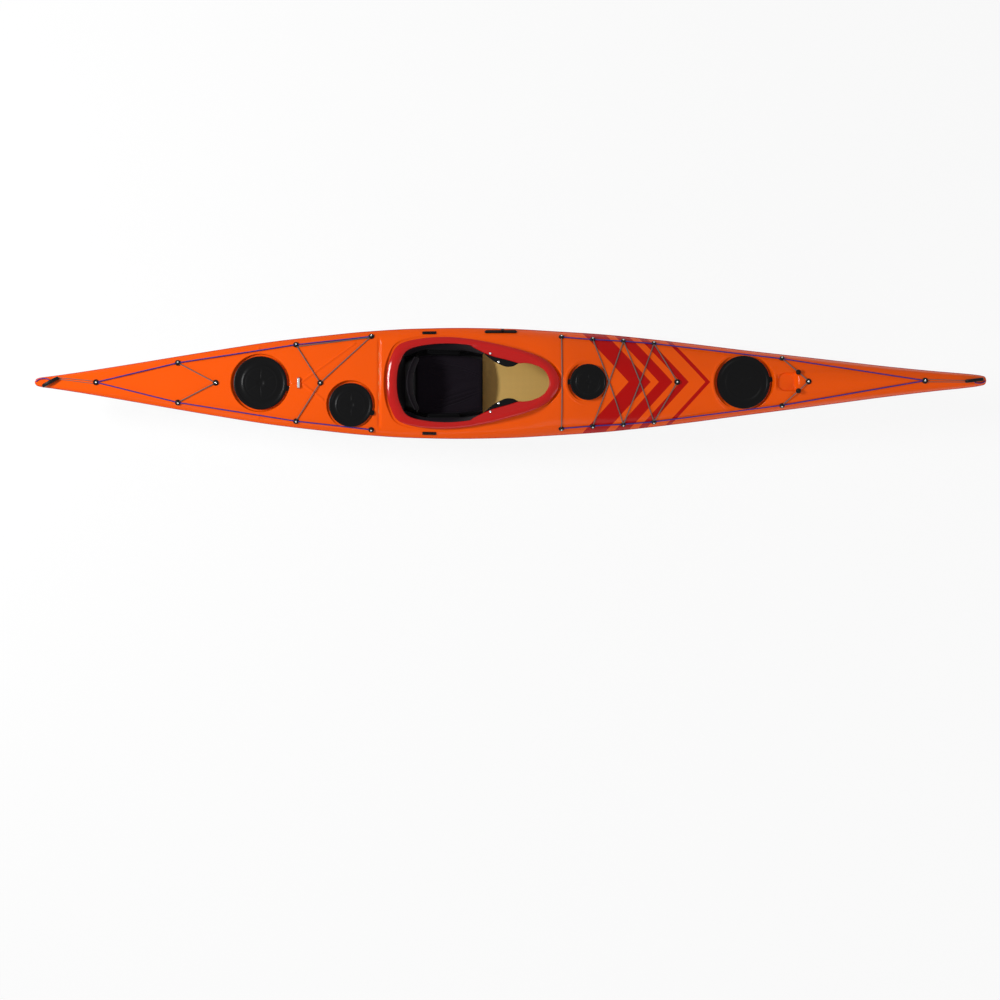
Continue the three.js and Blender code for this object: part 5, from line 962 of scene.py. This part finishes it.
class KAYAK_OT_hatches(bpy.types.Operator):
    """Four round hatches: a turned rim on the deck and a turned rubber lid with rings, ribs and a tab"""
    bl_idname = "kayak.hatches"
    bl_label = "Hatches"

    def execute(self, context):
        groove = context.scene.kayak_sizes.groove
        for name, (px, py, radius, top, tab) in HATCHES.items():
            place = np.array([px, py, 0])
            bore, outer, base = radius - RIM_WIDTH - .0003, radius - .0041, top - LID_HEIGHT + .0003
            rim = [(bore - .0035, base - .016), (bore - .0003, base - .016), (bore, base - .0155),
                   (bore, base), (outer, base), (outer, base + .0035), (outer - .0015, base + .005),
                   (outer - .0035, base + .0098), (bore - .003, base + .01), (bore - .0035, base + .0095),
                   (bore - .0035, base - .016)]
            points, faces = turned(rim, 96)
            piece(f"{name}_rim", points + place, faces, "moulded_nylon", [f"{name}_hatch_rim"])
            under = top - .0094
            r = radius
            profile = [(.0005, under), (r - .0035, under), (r - .0035, top - .0165),
                       (r - .0005, top - .0165), (r, top - .016), (r, top - .0035), (r - .001, top - .0012),
                       (.97 * r, top - .0002), (.935 * r, top), (.905 * r, top - .0004),
                       (.885 * r, top - .0012), (.87 * r, top - groove), (.85 * r, top - groove - .0004),
                       (.77 * r, top - groove - .0004), (.69 * r, top - groove), (.675 * r, top - .0018),
                       (.66 * r, top - .0011), (.64 * r, top - .001), (.6 * r, top - .001),
                       (.585 * r, top - .0016), (.57 * r, top - .001), (.5 * r, top - .001),
                       (.4 * r, top - .001), (.3 * r, top - .001), (.2 * r, top - .001),
                       (.13 * r, top - .001), (.11 * r, top - .0022), (.05 * r, top - .0026),
                       (.0005, top - .0026)]
            points, faces = turned(profile, 144)
            rr, angle = np.hypot(points[:, 0], points[:, 1]), np.arctan2(points[:, 1], points[:, 0])
            on_top = points[:, 2] > under + .002
            rib = np.exp(-((np.mod(angle * LID_RIBS / (2 * math.pi), 1) - .5) / .05) ** 2)
            inner_fade, outer_fade = np.clip((rr / r - .15) / .06, 0, 1), np.clip((.55 - rr / r) / .06, 0, 1)
            points[:, 2] -= on_top * rib * RIB_DEPTH * inner_fade * outer_fade
            tongue = np.array([(-.012, -.013), (.004, -.013), (.011, -.0115), (.0155, -.007), (.017, 0),
                               (.0155, .007), (.011, .0115), (.004, .013), (-.012, .013)])
            tab_points, tab_faces = plate(tongue + np.array([radius, 0]), TAB_THICKNESS, TAB_BEVEL)
            tab_points[:, 2] += top - .0055
            turn = np.array([(math.cos(tab), math.sin(tab)), (-math.sin(tab), math.cos(tab))])
            tab_points[:, :2] = tab_points[:, :2] @ turn
            points, faces = joined([(points, faces), (tab_points, tab_faces)])
            made = piece(f"{name}_lid", points + place, faces, "moulded_rubber", [f"{name}_hatch_lid"],
                         body=f"{name}_lid")
            sharp_by_angle(made, 40)
        return {"FINISHED"}


FITTING_RADIUS, FITTING_RISE = .015, .01


def dome(radius, rise):
    """Profile of a deck fitting: thin flange, soft shoulder and flat top with a hollow for the screw."""
    return [(.0002, 0), (radius, 0), (radius, rise * .12), (radius * .97, rise * .2),
            (radius * .86, rise * .32), (radius * .8, rise * .55), (radius * .74, rise * .82),
            (radius * .64, rise * .96), (radius * .5, rise), (radius * .36, rise),
            (radius * .34, rise * .9), (.0002, rise * .9)]


class KAYAK_OT_fittings(bpy.types.Operator):
    """Deck fittings: low moulded domes set square to the deck, each with a stainless screw"""
    bl_idname = "kayak.fittings"
    bl_label = "Deck fittings"

    def execute(self, context):
        places = np.concatenate([AFT_FITTINGS, FORE_FITTINGS, np.array(list(CENTRE_FITTINGS.values()))])
        points, faces = turned(dome(FITTING_RADIUS, FITTING_RISE), 32)
        piece("fitting_domes", set_on_deck(points, places, FITTING_LIFT),
              repeated(faces, len(places), len(points)), "moulded_nylon")
        screw = [(.0002, .008), (.0045, .008), (.0046, .0095), (.004, .0108), (.0022, .0112), (.002, .0104),
                 (.0002, .0104)]
        points, faces = turned(screw, 20)
        piece("fitting_screws", set_on_deck(points, places, FITTING_LIFT),
              repeated(faces, len(places), len(points)), "polished_stainless")
        return {"FINISHED"}


class KAYAK_OT_deck_lines(bpy.types.Operator):
    """Deck lines: one tight cord aft and one forward, from fitting to fitting along the deck's edge"""
    bl_idname = "kayak.deck_lines"
    bl_label = "Deck lines"

    def execute(self, context):
        size = context.scene.kayak_sizes.line
        for name, places in (("aft", AFT_FITTINGS), ("fore", FORE_FITTINGS)):
            knots = np.concatenate([places, np.full((len(places), 1), CORD_HEIGHT)], 1)
            run = taut_run(knots, size / 2 + .0012, 30)
            piece(f"line_{name}", *tube(run, size, 10), "braided_line", [f"deck_line_{name}"])
        return {"FINISHED"}


BALL_RADIUS, BALL_BORE = .013, .003


def bead(centre, direction, radius, bore):
    """A ball with a straight hole: a profile of outer arc and bore, turned about the cord's direction."""
    start = math.asin(bore / radius)
    arc = np.linspace(start, math.pi - start, 24)
    profile = np.stack([radius * np.sin(arc), -radius * np.cos(arc)], 1)
    inside = radius * math.cos(start) * .5
    profile = np.concatenate([profile, [(bore, inside), (bore, -inside)], profile[:1]])
    points, faces = turned(profile, 40)
    direction = np.asarray(direction) / np.linalg.norm(direction)
    side = np.cross((0, 0, 1), direction)
    side /= np.linalg.norm(side)
    axes = np.stack([side, np.cross(direction, side), direction])
    return points @ axes + centre, faces


class KAYAK_OT_bungees(bpy.types.Operator):
    """Bungees: tight strands between fittings, the bow pair threaded through two balls"""
    bl_idname = "kayak.bungees"
    bl_label = "Bungees"

    def execute(self, context):
        size = context.scene.kayak_sizes.bungee
        aft, fore = AFT_FITTINGS, FORE_FITTINGS
        centre = {name: np.array(place) for name, place in CENTRE_FITTINGS.items()}
        nets = {
            "bungee_stern": [(aft[2], centre["stern"]), (aft[4], centre["stern"])],
            "bungee_aft": [(aft[1], centre["aft"]), (aft[5], centre["aft"]), (aft[0], centre["aft"]),
                           (aft[1] + (.012, -.008), aft[0] + (-.012, -.006))],
            "bungee_fore_band": [(fore[0], fore[10])],
            "bungee_fore_cross_rear": [(fore[1], fore[8]), (fore[2], fore[9])],
            "bungee_fore_cross_front": [(fore[2], fore[7]), (fore[3], fore[8])],
            "bungee_fore_vee": [(fore[3], centre["fore"]), (fore[7], centre["fore"])],
            "bungee_bow": [],
        }
        balls = {}
        for side in ("port", "starboard"):
            low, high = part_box(f"bungee_ball_{side}")
            balls[side] = np.array((low + high) / 2)
        lift = size / 2 + .001
        for name, pairs in nets.items():
            runs = [taut((*a, CORD_HEIGHT), (*b, CORD_HEIGHT), lift, 36) for a, b in pairs]
            if name == "bungee_bow":
                for side, start in (("port", fore[4]), ("starboard", fore[6])):
                    ball = balls[side]
                    over = ball[2] - float(deck_top(ball[0], ball[1]))
                    knots = [(*start, CORD_HEIGHT), (ball[0], ball[1], over), (*centre["bow"], CORD_HEIGHT)]
                    runs.append(taut_run(knots, lift, 20))
            points, faces = joined([tube(run, size, 8) for run in runs])
            piece(f"{name}_cord", points, faces, "sheathed_bungee", [name])
        for side, hand in (("port", 1), ("starboard", -1)):
            start = fore[4] if hand > 0 else fore[6]
            way = np.array([*(centre["bow"] - start), 0.0])
            piece(f"ball_{side}", *bead(balls[side], way, BALL_RADIUS, BALL_BORE), "moulded_nylon",
                  [f"bungee_ball_{side}"])
        return {"FINISHED"}


# Toggle grips: radius of the corners, half axes of the half ellipse inside them, thickness and bevel
GRIP_CORNER, GRIP_HALF, GRIP_RISE, GRIP_THICKNESS, GRIP_BEVEL = .006, .04, .015, .017, .005


class KAYAK_OT_toggles(bpy.types.Operator):
    """Carry toggles: moulded half moons on their loops, with two thin keeper cords each"""
    bl_idname = "kayak.toggles"
    bl_label = "Carry toggles"

    def execute(self, context):
        sizes = context.scene.kayak_sizes
        # Outline: the farthest point of a half ellipse each way, moved out by the corners' radius
        turn = (np.arange(72) + .5) / 72 * 2 * math.pi
        cos, sin, corner, a, b = np.cos(turn), np.sin(turn), GRIP_CORNER, GRIP_HALF, GRIP_RISE
        reach = np.sqrt((a * cos) ** 2 + (b * sin) ** 2)
        outline = np.stack([np.where(sin > 0, a * a * cos / reach, a * np.sign(cos)) + corner * cos,
                            np.where(sin > 0, b * b * sin / reach, 0) + corner * (1 + sin)], 1)
        loops = {
            "bow": [(2.2965, -.004, .01), (2.301, -.0118, .01), (2.322, -.014, .008), (2.338, -.012, .0055),
                    (2.3485, -.0045, .0035), (2.3505, -.0015, -.003)],
            "stern": [(-2.281, .0035, .011), (-2.2865, .012, .0105), (-2.31, .018, .009),
                      (-2.334, .014, .006), (-2.349, .0035, .0035), (-2.351, .001, -.003)]}
        for side, hand, x, yaw in (("bow", 1, 2.296, .12), ("stern", -1, -2.279, .5)):
            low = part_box(f"toggle_{side}")[0]
            points, faces = plate(outline, GRIP_THICKNESS, GRIP_BEVEL)
            local = np.stack([points[:, 0], -points[:, 2], points[:, 1]], 1)
            c, s = math.cos(yaw), math.sin(yaw)
            placed = np.stack([
                x + c * local[:, 0] - s * local[:, 1], s * local[:, 0] + c * local[:, 1],
                low.z + local[:, 2]], 1)
            piece(f"toggle_grip_{side}", placed, faces, "moulded_nylon", [f"toggle_{side}"],
                  body=f"{side}_toggle")
            route = np.array(loops[side])
            route[:, 2] += base_deck(route[:, 0], route[:, 1])
            piece(f"toggle_cord_{side}", *tube(spline(route, 40), sizes.loop, 10), "braided_line",
                  [f"toggle_loop_{side}"], body=f"{side}_toggle")
            fitting = AFT_FITTINGS[3] if hand < 0 else FORE_FITTINGS[5]
            near = x - hand * GRIP_HALF * c
            runs = []
            for offset in (.006, -.006):
                start = (fitting[0] + hand * .014, offset, .005)
                end = (near, offset * .6 - hand * GRIP_HALF * s, .008)
                runs.append(tube(taut(start, end, sizes.keeper / 2 + .0008, 24), sizes.keeper, 8))
            points, faces = joined(runs)
            made = piece(f"keeper_cords_{side}", points, faces, "sheathed_bungee", body=None)
            z = float(base_deck(near, 0))
            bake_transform(made)
        return {"FINISHED"}


BUCKLE_HALF, BUCKLE_CORNER = (.035, .0085), .003
# Slider's track: half length of its straight part and radius of its ends
TRACK_HALF, TRACK_END = .072, .01


class KAYAK_OT_small_parts(bpy.types.Operator):
    """Security bar, strap buckles and the skeg's slider"""
    bl_idname = "kayak.small_parts"
    bl_label = "Bar, buckles and slider"

    def execute(self, context):
        arch = np.array([(-.03, 0), (-.0298, .002), (-.0235, .0115), (-.0215, .0135), (-.019, .014),
                         (.019, .014), (.0215, .0135), (.0235, .0115), (.0298, .002), (.03, 0), (.022, 0),
                         (.0175, .0085), (.0165, .0096), (.015, .01), (-.015, .01), (-.0165, .0096),
                         (-.0175, .0085), (-.022, 0)])
        low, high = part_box("security_bar")
        points, faces = plate(arch, .012, .0012)
        placed = np.stack([(low.x + high.x) / 2 + points[:, 2], points[:, 0], low.z + points[:, 1]], 1)
        made = piece("security_bar_strap", placed, faces, "polished_stainless", ["security_bar"])
        sharp_by_angle(made)
        corner = np.linspace(0, math.pi / 2, 5)
        for side, hand in (("port", 1), ("starboard", -1)):
            outline = np.concatenate([
                np.stack([sx * (BUCKLE_HALF[0] - BUCKLE_CORNER) + BUCKLE_CORNER * np.cos(corner + start),
                          sy * (BUCKLE_HALF[1] - BUCKLE_CORNER) + BUCKLE_CORNER * np.sin(corner + start)], 1)
                for sx, sy, start in ((1, 1, 0), (-1, 1, math.pi / 2), (-1, -1, math.pi),
                                      (1, -1, 1.5 * math.pi))])
            plate_points, plate_faces = plate(outline, .003, .001)
            plate_points[:, 2] += .0022
            parts = [(plate_points, plate_faces)]
            for k in range(-4, 5):
                rib_points, rib_faces = plate(outline * (.045, .8), .003, .0006)
                parts.append((rib_points + (k * .0068, 0, .0045), rib_faces))
            points, faces = joined(parts)
            placed = set_on_deck(points, [(-.392, hand * .252)], .0006).reshape(-1, 3)
            made = piece(f"buckle_{side}", placed, faces, "moulded_nylon", [f"strap_buckle_{side}"])
            sharp_by_angle(made)
        half_round = np.linspace(-math.pi / 2, math.pi / 2, 12)
        end = np.stack([TRACK_HALF + TRACK_END * np.cos(half_round), TRACK_END * np.sin(half_round)], 1)
        stadium = np.concatenate([end, -end])
        bed_points, bed_faces = plate(stadium, .003, .0008)
        parts = [(bed_points + (0, 0, .0016), bed_faces)]
        for y in (-.0062, .0062):
            rail_points, rail_faces = plate(stadium * (.94, .34), .003, .0008)
            parts.append((rail_points + (0, y, .0045), rail_faces))
        points, faces = joined(parts)
        placed = moved_to(set_on_deck(points, [(-.032, .256)])[0], "skeg_slider_track")
        made = piece("slider_track", placed, faces, "moulded_nylon", ["skeg_slider_track"])
        sharp_by_angle(made)
        points, faces = turned([(.0002, .0032), (.0027, .0032), (.0027, .0063), (.0085, .0063),
                                (.0087, .0075), (.0082, .0095), (.0085, .0118), (.0084, .0138),
                                (.0076, .0148), (.005, .015), (.0002, .0146)], 32)
        placed = moved_to(set_on_deck(points, [(-.023, .256)])[0], "skeg_slider_knob")
        piece("slider_knob", placed, faces, "moulded_nylon", ["skeg_slider_knob"], body="slider")
        return {"FINISHED"}


SEAT_TOP_SHARES = [(0, .86), (.35, 1), (.65, .9), (1, .42)]
SEAT_FLOOR_SHARES = [(0, .5), (.25, .08), (.6, 0), (1, .16)]
SEAT_WIDTH_SHARES = [(0, .78), (.3, 1), (.7, .98), (1, .86)]
# Seat: rear end, length, half width, lowest height, what its floor and edges rise, and the trough's power
SEAT_REAR, SEAT_LENGTH, SEAT_HALF, SEAT_LOW, FLOOR_RISE, EDGE_RISE, TROUGH_POWER = (
    -.52, .396, .176, .052, .065, .13, .55)
# Thickness of the pan, height of its top with a gap, and fullness of the cover, hip pads and backrest
PAN_WALL, PAN_TOP, COVER_FULL, HIP_FULL, BACK_FULL = .004, .0046, .0205, .016, .024
# The cover and the hip pads end on these parts of the seat's length and of its way round
SEAT_STATIONS, SEAT_STRIPS = 7, 14
# Middle of the cockpit that the painted-shade sheet's rim and foot are measured round, and its sag and
# thickness
SHADE_SHEET_CENTRE, SHADE_SHEET_SAG, SHADE_SHEET_THICKNESS = -.3, .006, .0015
# Backrest: place of its foot, wrap of its sides, lean of its top, half width, height of its foot, height
BACK_X, BACK_WRAP, BACK_LEAN, BACK_HALF, BACK_FOOT, BACK_HEIGHT = -.492, .04, .016, .132, .124, .134
# Place of the backrest's port pin
PIN_X, PIN_Y, PIN_Z = -.457, .118, .15


def trough(u, v, depth):
    """Seat surface, lifted inward by depth: x runs along u, and across v a superellipse hangs between the two
    top edges, y = half * sin^n and z = top - (top - floor) * cos^n, with half, top and floor from tables."""
    u, v, depth = np.broadcast_arrays(u, v, depth)
    angle = (2 * v - 1) * math.pi / 2
    half = SEAT_HALF * along(SEAT_WIDTH_SHARES, u) - depth
    floor = SEAT_LOW + FLOOR_RISE * along(SEAT_FLOOR_SHARES, u) + depth
    top = SEAT_LOW + EDGE_RISE * along(SEAT_TOP_SHARES, u)
    y = half * np.sign(angle) * np.abs(np.sin(angle)) ** TROUGH_POWER
    z = top - (top - floor) * np.abs(np.cos(angle)) ** TROUGH_POWER
    return np.stack([SEAT_REAR + SEAT_LENGTH * u, y, z], -1)


# Thigh pads: rear end, length, how far they bulge past the flange and how thick they are
PAD_REAR, PAD_LENGTH, PAD_BULGE, PAD_FULL = -.113, .168, .035, .018
# Port screws of the flange and the pad: x, y and how far they lie below the lip's line
PAD_SCREWS = ((-.0855, .146, .0105), (-.043, .1035, .0288))


class KAYAK_OT_seat(bpy.types.Operator):
    """Seat pan with its padded cover, hip pads, backrest, thigh pads and a dark sheet of painted shade round
    it
    """
    bl_idname = "kayak.seat"
    bl_label = "Seat"

    def execute(self, context):
        pleat = context.scene.kayak_sizes.pleat
        u, v = unit_grid(50, 90)
        # Pan in black nylon, not the tan laminate of its slot: partly to go with the dark seat cloth, partly
        # painted shade behind and beside the seat
        piece("seat_trough", *slab(trough(u, v, 0), trough(u, v, PAN_WALL)), "moulded_nylon", ["seat_pan"],
              slot="laminate")
        # Dark cloth sheet from the seat's rim, at the sides and the back, out to the coaming's foot: painted
        # shade over the hollow
        around = np.linspace(0, 1, 120)
        sides = np.stack([np.interp(around, (0, .35, .65, 1), (1, 0, 0, 1)),
                          np.interp(around, (.35, .65), (1, 0))])
        rim = trough(sides[0], sides[1], .0005)
        foot = inner_line(.0035, 720)
        turn = np.arctan2(foot[:, 1], foot[:, 0] - SHADE_SHEET_CENTRE)
        order = np.argsort(turn)
        reach = np.hypot(foot[:, 1], foot[:, 0] - SHADE_SHEET_CENTRE)
        angle = np.unwrap(np.arctan2(rim[:, 1], rim[:, 0] - SHADE_SHEET_CENTRE))
        far = np.interp(angle, turn[order], reach[order], period=2 * math.pi)
        edge = np.stack([SHADE_SHEET_CENTRE + far * np.cos(angle), far * np.sin(angle)], 1)
        edge = np.concatenate([edge, height(LIP_SHARES, edge[:, 0])[:, None] - .04], 1)
        share = np.linspace(0, 1, 12)[:, None, None]
        sheet = rim * (1 - share) + edge * share
        sheet[..., 2] -= SHADE_SHEET_SAG * np.sin(math.pi * share[..., 0])
        piece("seat_shade_sheet", *slab(sheet, sheet + (0, 0, -SHADE_SHEET_THICKNESS)), "woven_cover")
        # Cover: full in the middle, thin at its hem, with channels that fan out from the front
        a, b = unit_grid(110, 120)
        u, v = (1 + 6 * a) / SEAT_STATIONS, (3 + 8 * b) / SEAT_STRIPS
        hem = np.clip(np.minimum(np.minimum(a, 1 - a) * 14, np.minimum(b, 1 - b) * 12), 0, 1)
        full = COVER_FULL * (.3 + .7 * rounded(hem)) * (.6 + .4 * np.sin(math.pi * b))
        fan = (b - .5) / (.16 + .84 * (1 - a))
        channel = np.cos(math.pi * (fan * 6.5 + .35 * np.sin(5 * a))) ** 6
        for fade in ((a - .12) / .3, (1 - a) / .04, (.62 - np.abs(fan)) / .1):
            channel = channel * np.clip(fade, 0, 1)
        wrinkle = .0014 * np.sin(11 * a + 3 * np.sin(7 * b)) * np.sin(math.pi * a)
        top = trough(u, v, PAN_TOP + full - pleat * channel * hem + wrinkle * hem)
        made = piece("seat_cover", *slab(trough(u, v, PAN_TOP), top), "woven_cover", ["seat_pad"])
        for side, rows in (("port", (12, 14)), ("starboard", (0, 2))):
            a, b = unit_grid(40, 24)
            hem = rounded(np.minimum(np.minimum(a, 1 - a) * 8, np.minimum(b, 1 - b) * 6))
            u, v = (2 + 3 * a) / SEAT_STATIONS, (rows[0] + (rows[1] - rows[0]) * b) / SEAT_STRIPS
            pad = slab(trough(u, v, PAN_TOP), trough(u, v, PAN_TOP + HIP_FULL * (.3 + .7 * hem)))
            made = piece(f"hip_cushion_{side}", *pad, "cell_foam", [f"hip_pad_{side}"])
        # Backrest: a band that wraps the back, swollen between its edges
        a, b = unit_grid(90, 40, start=-1)
        rim = rounded(np.minimum((1 - np.abs(a)) * 9, np.minimum(b, 1 - b) * 7))
        quilt = .002 * np.exp(-((np.abs(a) - .42) / .03) ** 2)
        faces_x = []
        for depth in (0, BACK_FULL):
            swell = depth * (.4 + .6 * rim) * (.55 + .45 * np.sin(math.pi * b))
            swell = swell * (.6 + .4 * np.sqrt(1 - a * a * .95)) - (quilt if depth else 0)
            x = BACK_X + BACK_WRAP * a * a - BACK_LEAN * b + swell
            faces_x.append(np.stack([x, BACK_HALF * a, BACK_FOOT + BACK_HEIGHT * (1 - .3 * a * a) * b], -1))
        made = piece("backrest_cushion", *slab(*faces_x), "woven_cover", ["backrest"], body="backrest")
        for side, hand in (("port", 1), ("starboard", -1)):
            points, faces = turned([(.0002, 0), (.0088, 0), (.009, .0005), (.009, .03), (.0085, .0306),
                                    (.0002, .0306)], 28)
            placed = np.stack([
                PIN_X + points[:, 0], hand * (PIN_Y + points[:, 2]), PIN_Z + points[:, 1]], 1)
            piece(f"backrest_pin_{side}", placed, faces, "moulded_nylon", body="backrest")
        self.thigh_pads()
        return {"FINISHED"}

    def thigh_pads(self):
        """Pads under the flanges: a flat roof and a swollen underside that bulges past the flange's edge."""
        line = inner_line(0, 720)
        port = line[line[:, 1] > 0]
        port = port[np.argsort(port[:, 0])]
        screws = []
        for side, hand in (("port", 1), ("starboard", -1)):
            a, b = unit_grid(60, 28)
            x = PAD_REAR + PAD_LENGTH * a
            opening = np.interp(x, port[:, 0], port[:, 1])
            edge = opening - THIGH_REACH * along(THIGH_REACH_SHARES, (x - THIGH_REAR) / THIGH_LENGTH)
            outer_y = np.minimum(edge + .022, opening - .004)
            inner_y = edge - PAD_BULGE * along(THIGH_BULGE_SHARES, a)
            roof = height(LIP_SHARES, x) - .01 - .014 - .004 - .0006
            ends = np.sqrt(np.maximum(1 - (2 * a - 1) ** 4, .2))
            round_edge = rounded((1 - b) * 5) * rounded(np.minimum(a, 1 - a) * 9)
            y = hand * (outer_y + (inner_y - outer_y) * b)
            under = roof - PAD_FULL * ends * (.35 + .65 * round_edge) * (1 - .3 * (2 * b - 1) ** 2)
            upper = roof - .004 * (1 - round_edge)
            pad = slab(np.stack([x, y, upper], -1), np.stack([x, y, under], -1))
            made = piece(f"thigh_cushion_{side}", *pad, "cell_foam", [f"thigh_pad_{side}"])
            for screw_x, screw_y, fall in PAD_SCREWS:
                screw_z = float(height(LIP_SHARES, np.array(screw_x))) - fall
                screws.append((screw_x, hand * screw_y, screw_z))
        points, faces = turned([(.0002, -.001), (.0056, -.001), (.0058, .0008), (.005, .0018),
                                (.003, .0024), (.0026, .0016), (.0002, .0016)], 24)
        placed = np.array(screws)[:, None] + points[None]
        piece("pad_screws", placed, repeated(faces, len(screws), len(points)), "polished_stainless")


class KAYAK_OT_plain_nodes(bpy.types.Operator):
    """Finishes of the CAD nodes that keep their own shape"""
    bl_idname = "kayak.plain_nodes"
    bl_label = "Bulkheads, trunk, skeg and footrests"

    def execute(self, context):
        found = materials()
        finishes = {
            "cloth_laminate": ["fore_bulkhead", "cockpit_bulkhead", "stern_bulkhead", "skeg_trunk",
                               "pod_tub"],
            "moulded_nylon": ["skeg_blade", "skeg_cable", "foot_pedal_port", "foot_pedal_starboard"],
            "anodised_aluminium": ["footrest_rail_port", "footrest_rail_starboard"],
            "polished_stainless": ["skeg_pin"]}
        for name, nodes in finishes.items():
            for node in nodes:
                for node_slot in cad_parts[node].material_slots:
                    node_slot.material = found[name]
        return {"FINISHED"}


def seen_as_background(tree):
    """1 for rays that show the surround as it is: from the camera, off a gloss or through a clear piece."""
    ray = add_node(tree, "ShaderNodeLightPath")
    either = add_node(tree, "ShaderNodeMath", {"operation": "MAXIMUM"},
                      {0: ray.outputs["Is Camera Ray"], 1: ray.outputs["Is Glossy Ray"]})
    return add_node(tree, "ShaderNodeMath", {"operation": "MAXIMUM"},
                    {0: either.outputs[0], 1: ray.outputs["Is Transmission Ray"]})


# Floor: half its size, its height and the share of plain white that the camera sees in it
FLOOR_HALF, FLOOR_HEIGHT, FLOOR_WHITE = 20, -.2, .88
SURROUND_SOFT, SURROUND_WHITE = .28, 1.0
# Lamps: name, place, size and power in watts; each aims at AIM_SHARE of its own x, on the boat's middle line
LAMPS = (("key", (-5.2, .9, 4.6), (1.8, .8), 300), ("fill", (4.6, -2.4, 4.2), (2.6, 2.6), 50),
         ("side", (-.6, -6.0, 3.0), (5.0, 1.4), 40))
AIM_SHARE, AIM_HEIGHT = .15, .2


class KAYAK_OT_stage(bpy.types.Operator):
    """White floor, soft lamps and a white surround"""
    bl_idname = "kayak.stage"
    bl_label = "Stage"

    def execute(self, context):
        side = np.array([-FLOOR_HALF, FLOOR_HALF], float)
        gx, gy = np.meshgrid(side, side, indexing="ij")
        mesh = bpy.data.meshes.new("floor")
        points = np.stack([gx, gy, np.full_like(gx, FLOOR_HEIGHT)], -1).reshape(-1, 3)
        mesh.from_pydata(points.tolist(), [], grid_faces(2, 2)[:, ::-1].tolist())
        floor = bpy.data.objects.new("floor", mesh)
        context.scene.collection.objects.link(floor)
        # Painted studio floor: white to the camera, with a share of its own shading so that the shadow stays
        tree, shader = new_material("studio_floor", colour("#F4F4F4"), roughness=.6)
        seen = seen_as_background(tree)
        glow = add_node(tree, "ShaderNodeEmission", {"Color": (1, 1, 1, 1), "Strength": 1.0})
        share = add_node(tree, "ShaderNodeMath", {"operation": "MULTIPLY", 1: FLOOR_WHITE},
                         {0: seen.outputs[0]})
        mix = add_node(tree, "ShaderNodeMixShader",
                       links={0: share.outputs[0], 1: shader.outputs[0], 2: glow.outputs[0]})
        tree.links.new(mix.outputs[0], tree.nodes["Material Output"].inputs["Surface"])
        mesh.materials.append(bpy.data.materials["studio_floor"])
        world = bpy.data.worlds.new("surround")
        world.use_nodes = True
        context.scene.world = world
        tree = world.node_tree
        tree.nodes.clear()
        seen = seen_as_background(tree)
        soft = add_node(tree, "ShaderNodeBackground", {"Color": (1, 1, 1, 1), "Strength": SURROUND_SOFT})
        white = add_node(tree, "ShaderNodeBackground", {"Color": (1, 1, 1, 1), "Strength": SURROUND_WHITE})
        mix = add_node(tree, "ShaderNodeMixShader",
                       links={0: seen.outputs[0], 1: soft.outputs[0], 2: white.outputs[0]})
        add_node(tree, "ShaderNodeOutputWorld", links={"Surface": mix.outputs[0]})
        for name, place, size, power in LAMPS:
            lamp = bpy.data.lights.new(name, "AREA")
            lamp.shape, lamp.size, lamp.size_y, lamp.energy = "RECTANGLE", size[0], size[1], power
            made = bpy.data.objects.new(name, lamp)
            made.location = place
            aim = Vector((place[0] * AIM_SHARE, 0, AIM_HEIGHT)) - Vector(place)
            made.rotation_euler = aim.to_track_quat("-Z", "Y").to_euler()
            context.scene.collection.objects.link(made)
        context.scene.view_settings.view_transform = "Standard"
        return {"FINISHED"}


class KAYAK_PT_panel(bpy.types.Panel):
    """Lists the steps that build the kayak"""
    bl_idname = "KAYAK_PT_panel"
    bl_label = "Kayak"
    bl_space_type = "VIEW_3D"
    bl_region_type = "UI"
    bl_category = "Kayak"

    def draw(self, context):
        for step in STEPS:
            self.layout.operator(step.bl_idname)
        for group in (context.scene.kayak_sizes, context.scene.kayak_colours):
            for name in group.bl_rna.properties.keys():
                if name not in ("rna_type", "name"):
                    self.layout.prop(group, name)


STEPS = (
    KAYAK_OT_camera, KAYAK_OT_pull_cord, KAYAK_OT_hull, KAYAK_OT_deck, KAYAK_OT_seam_strip,
    KAYAK_OT_coaming, KAYAK_OT_hatches, KAYAK_OT_fittings, KAYAK_OT_deck_lines, KAYAK_OT_bungees,
    KAYAK_OT_toggles, KAYAK_OT_small_parts, KAYAK_OT_seat, KAYAK_OT_plain_nodes, KAYAK_OT_stage)
CLASSES = (KayakSizes, KayakColours, *STEPS, KAYAK_PT_panel)


def register():
    """Adds the classes and the two groups of settings to Blender."""
    for item in CLASSES:
        bpy.utils.register_class(item)
    bpy.types.Scene.kayak_sizes = bpy.props.PointerProperty(type=KayakSizes)
    bpy.types.Scene.kayak_colours = bpy.props.PointerProperty(type=KayakColours)


def unregister():
    """Takes them out again."""
    del bpy.types.Scene.kayak_sizes, bpy.types.Scene.kayak_colours
    for item in reversed(CLASSES):
        bpy.utils.unregister_class(item)


def main():
    register()
    for step in STEPS:
        family, name = step.bl_idname.split(".")
        getattr(getattr(bpy.ops, family), name)()


if __name__ == "__main__":
    main()
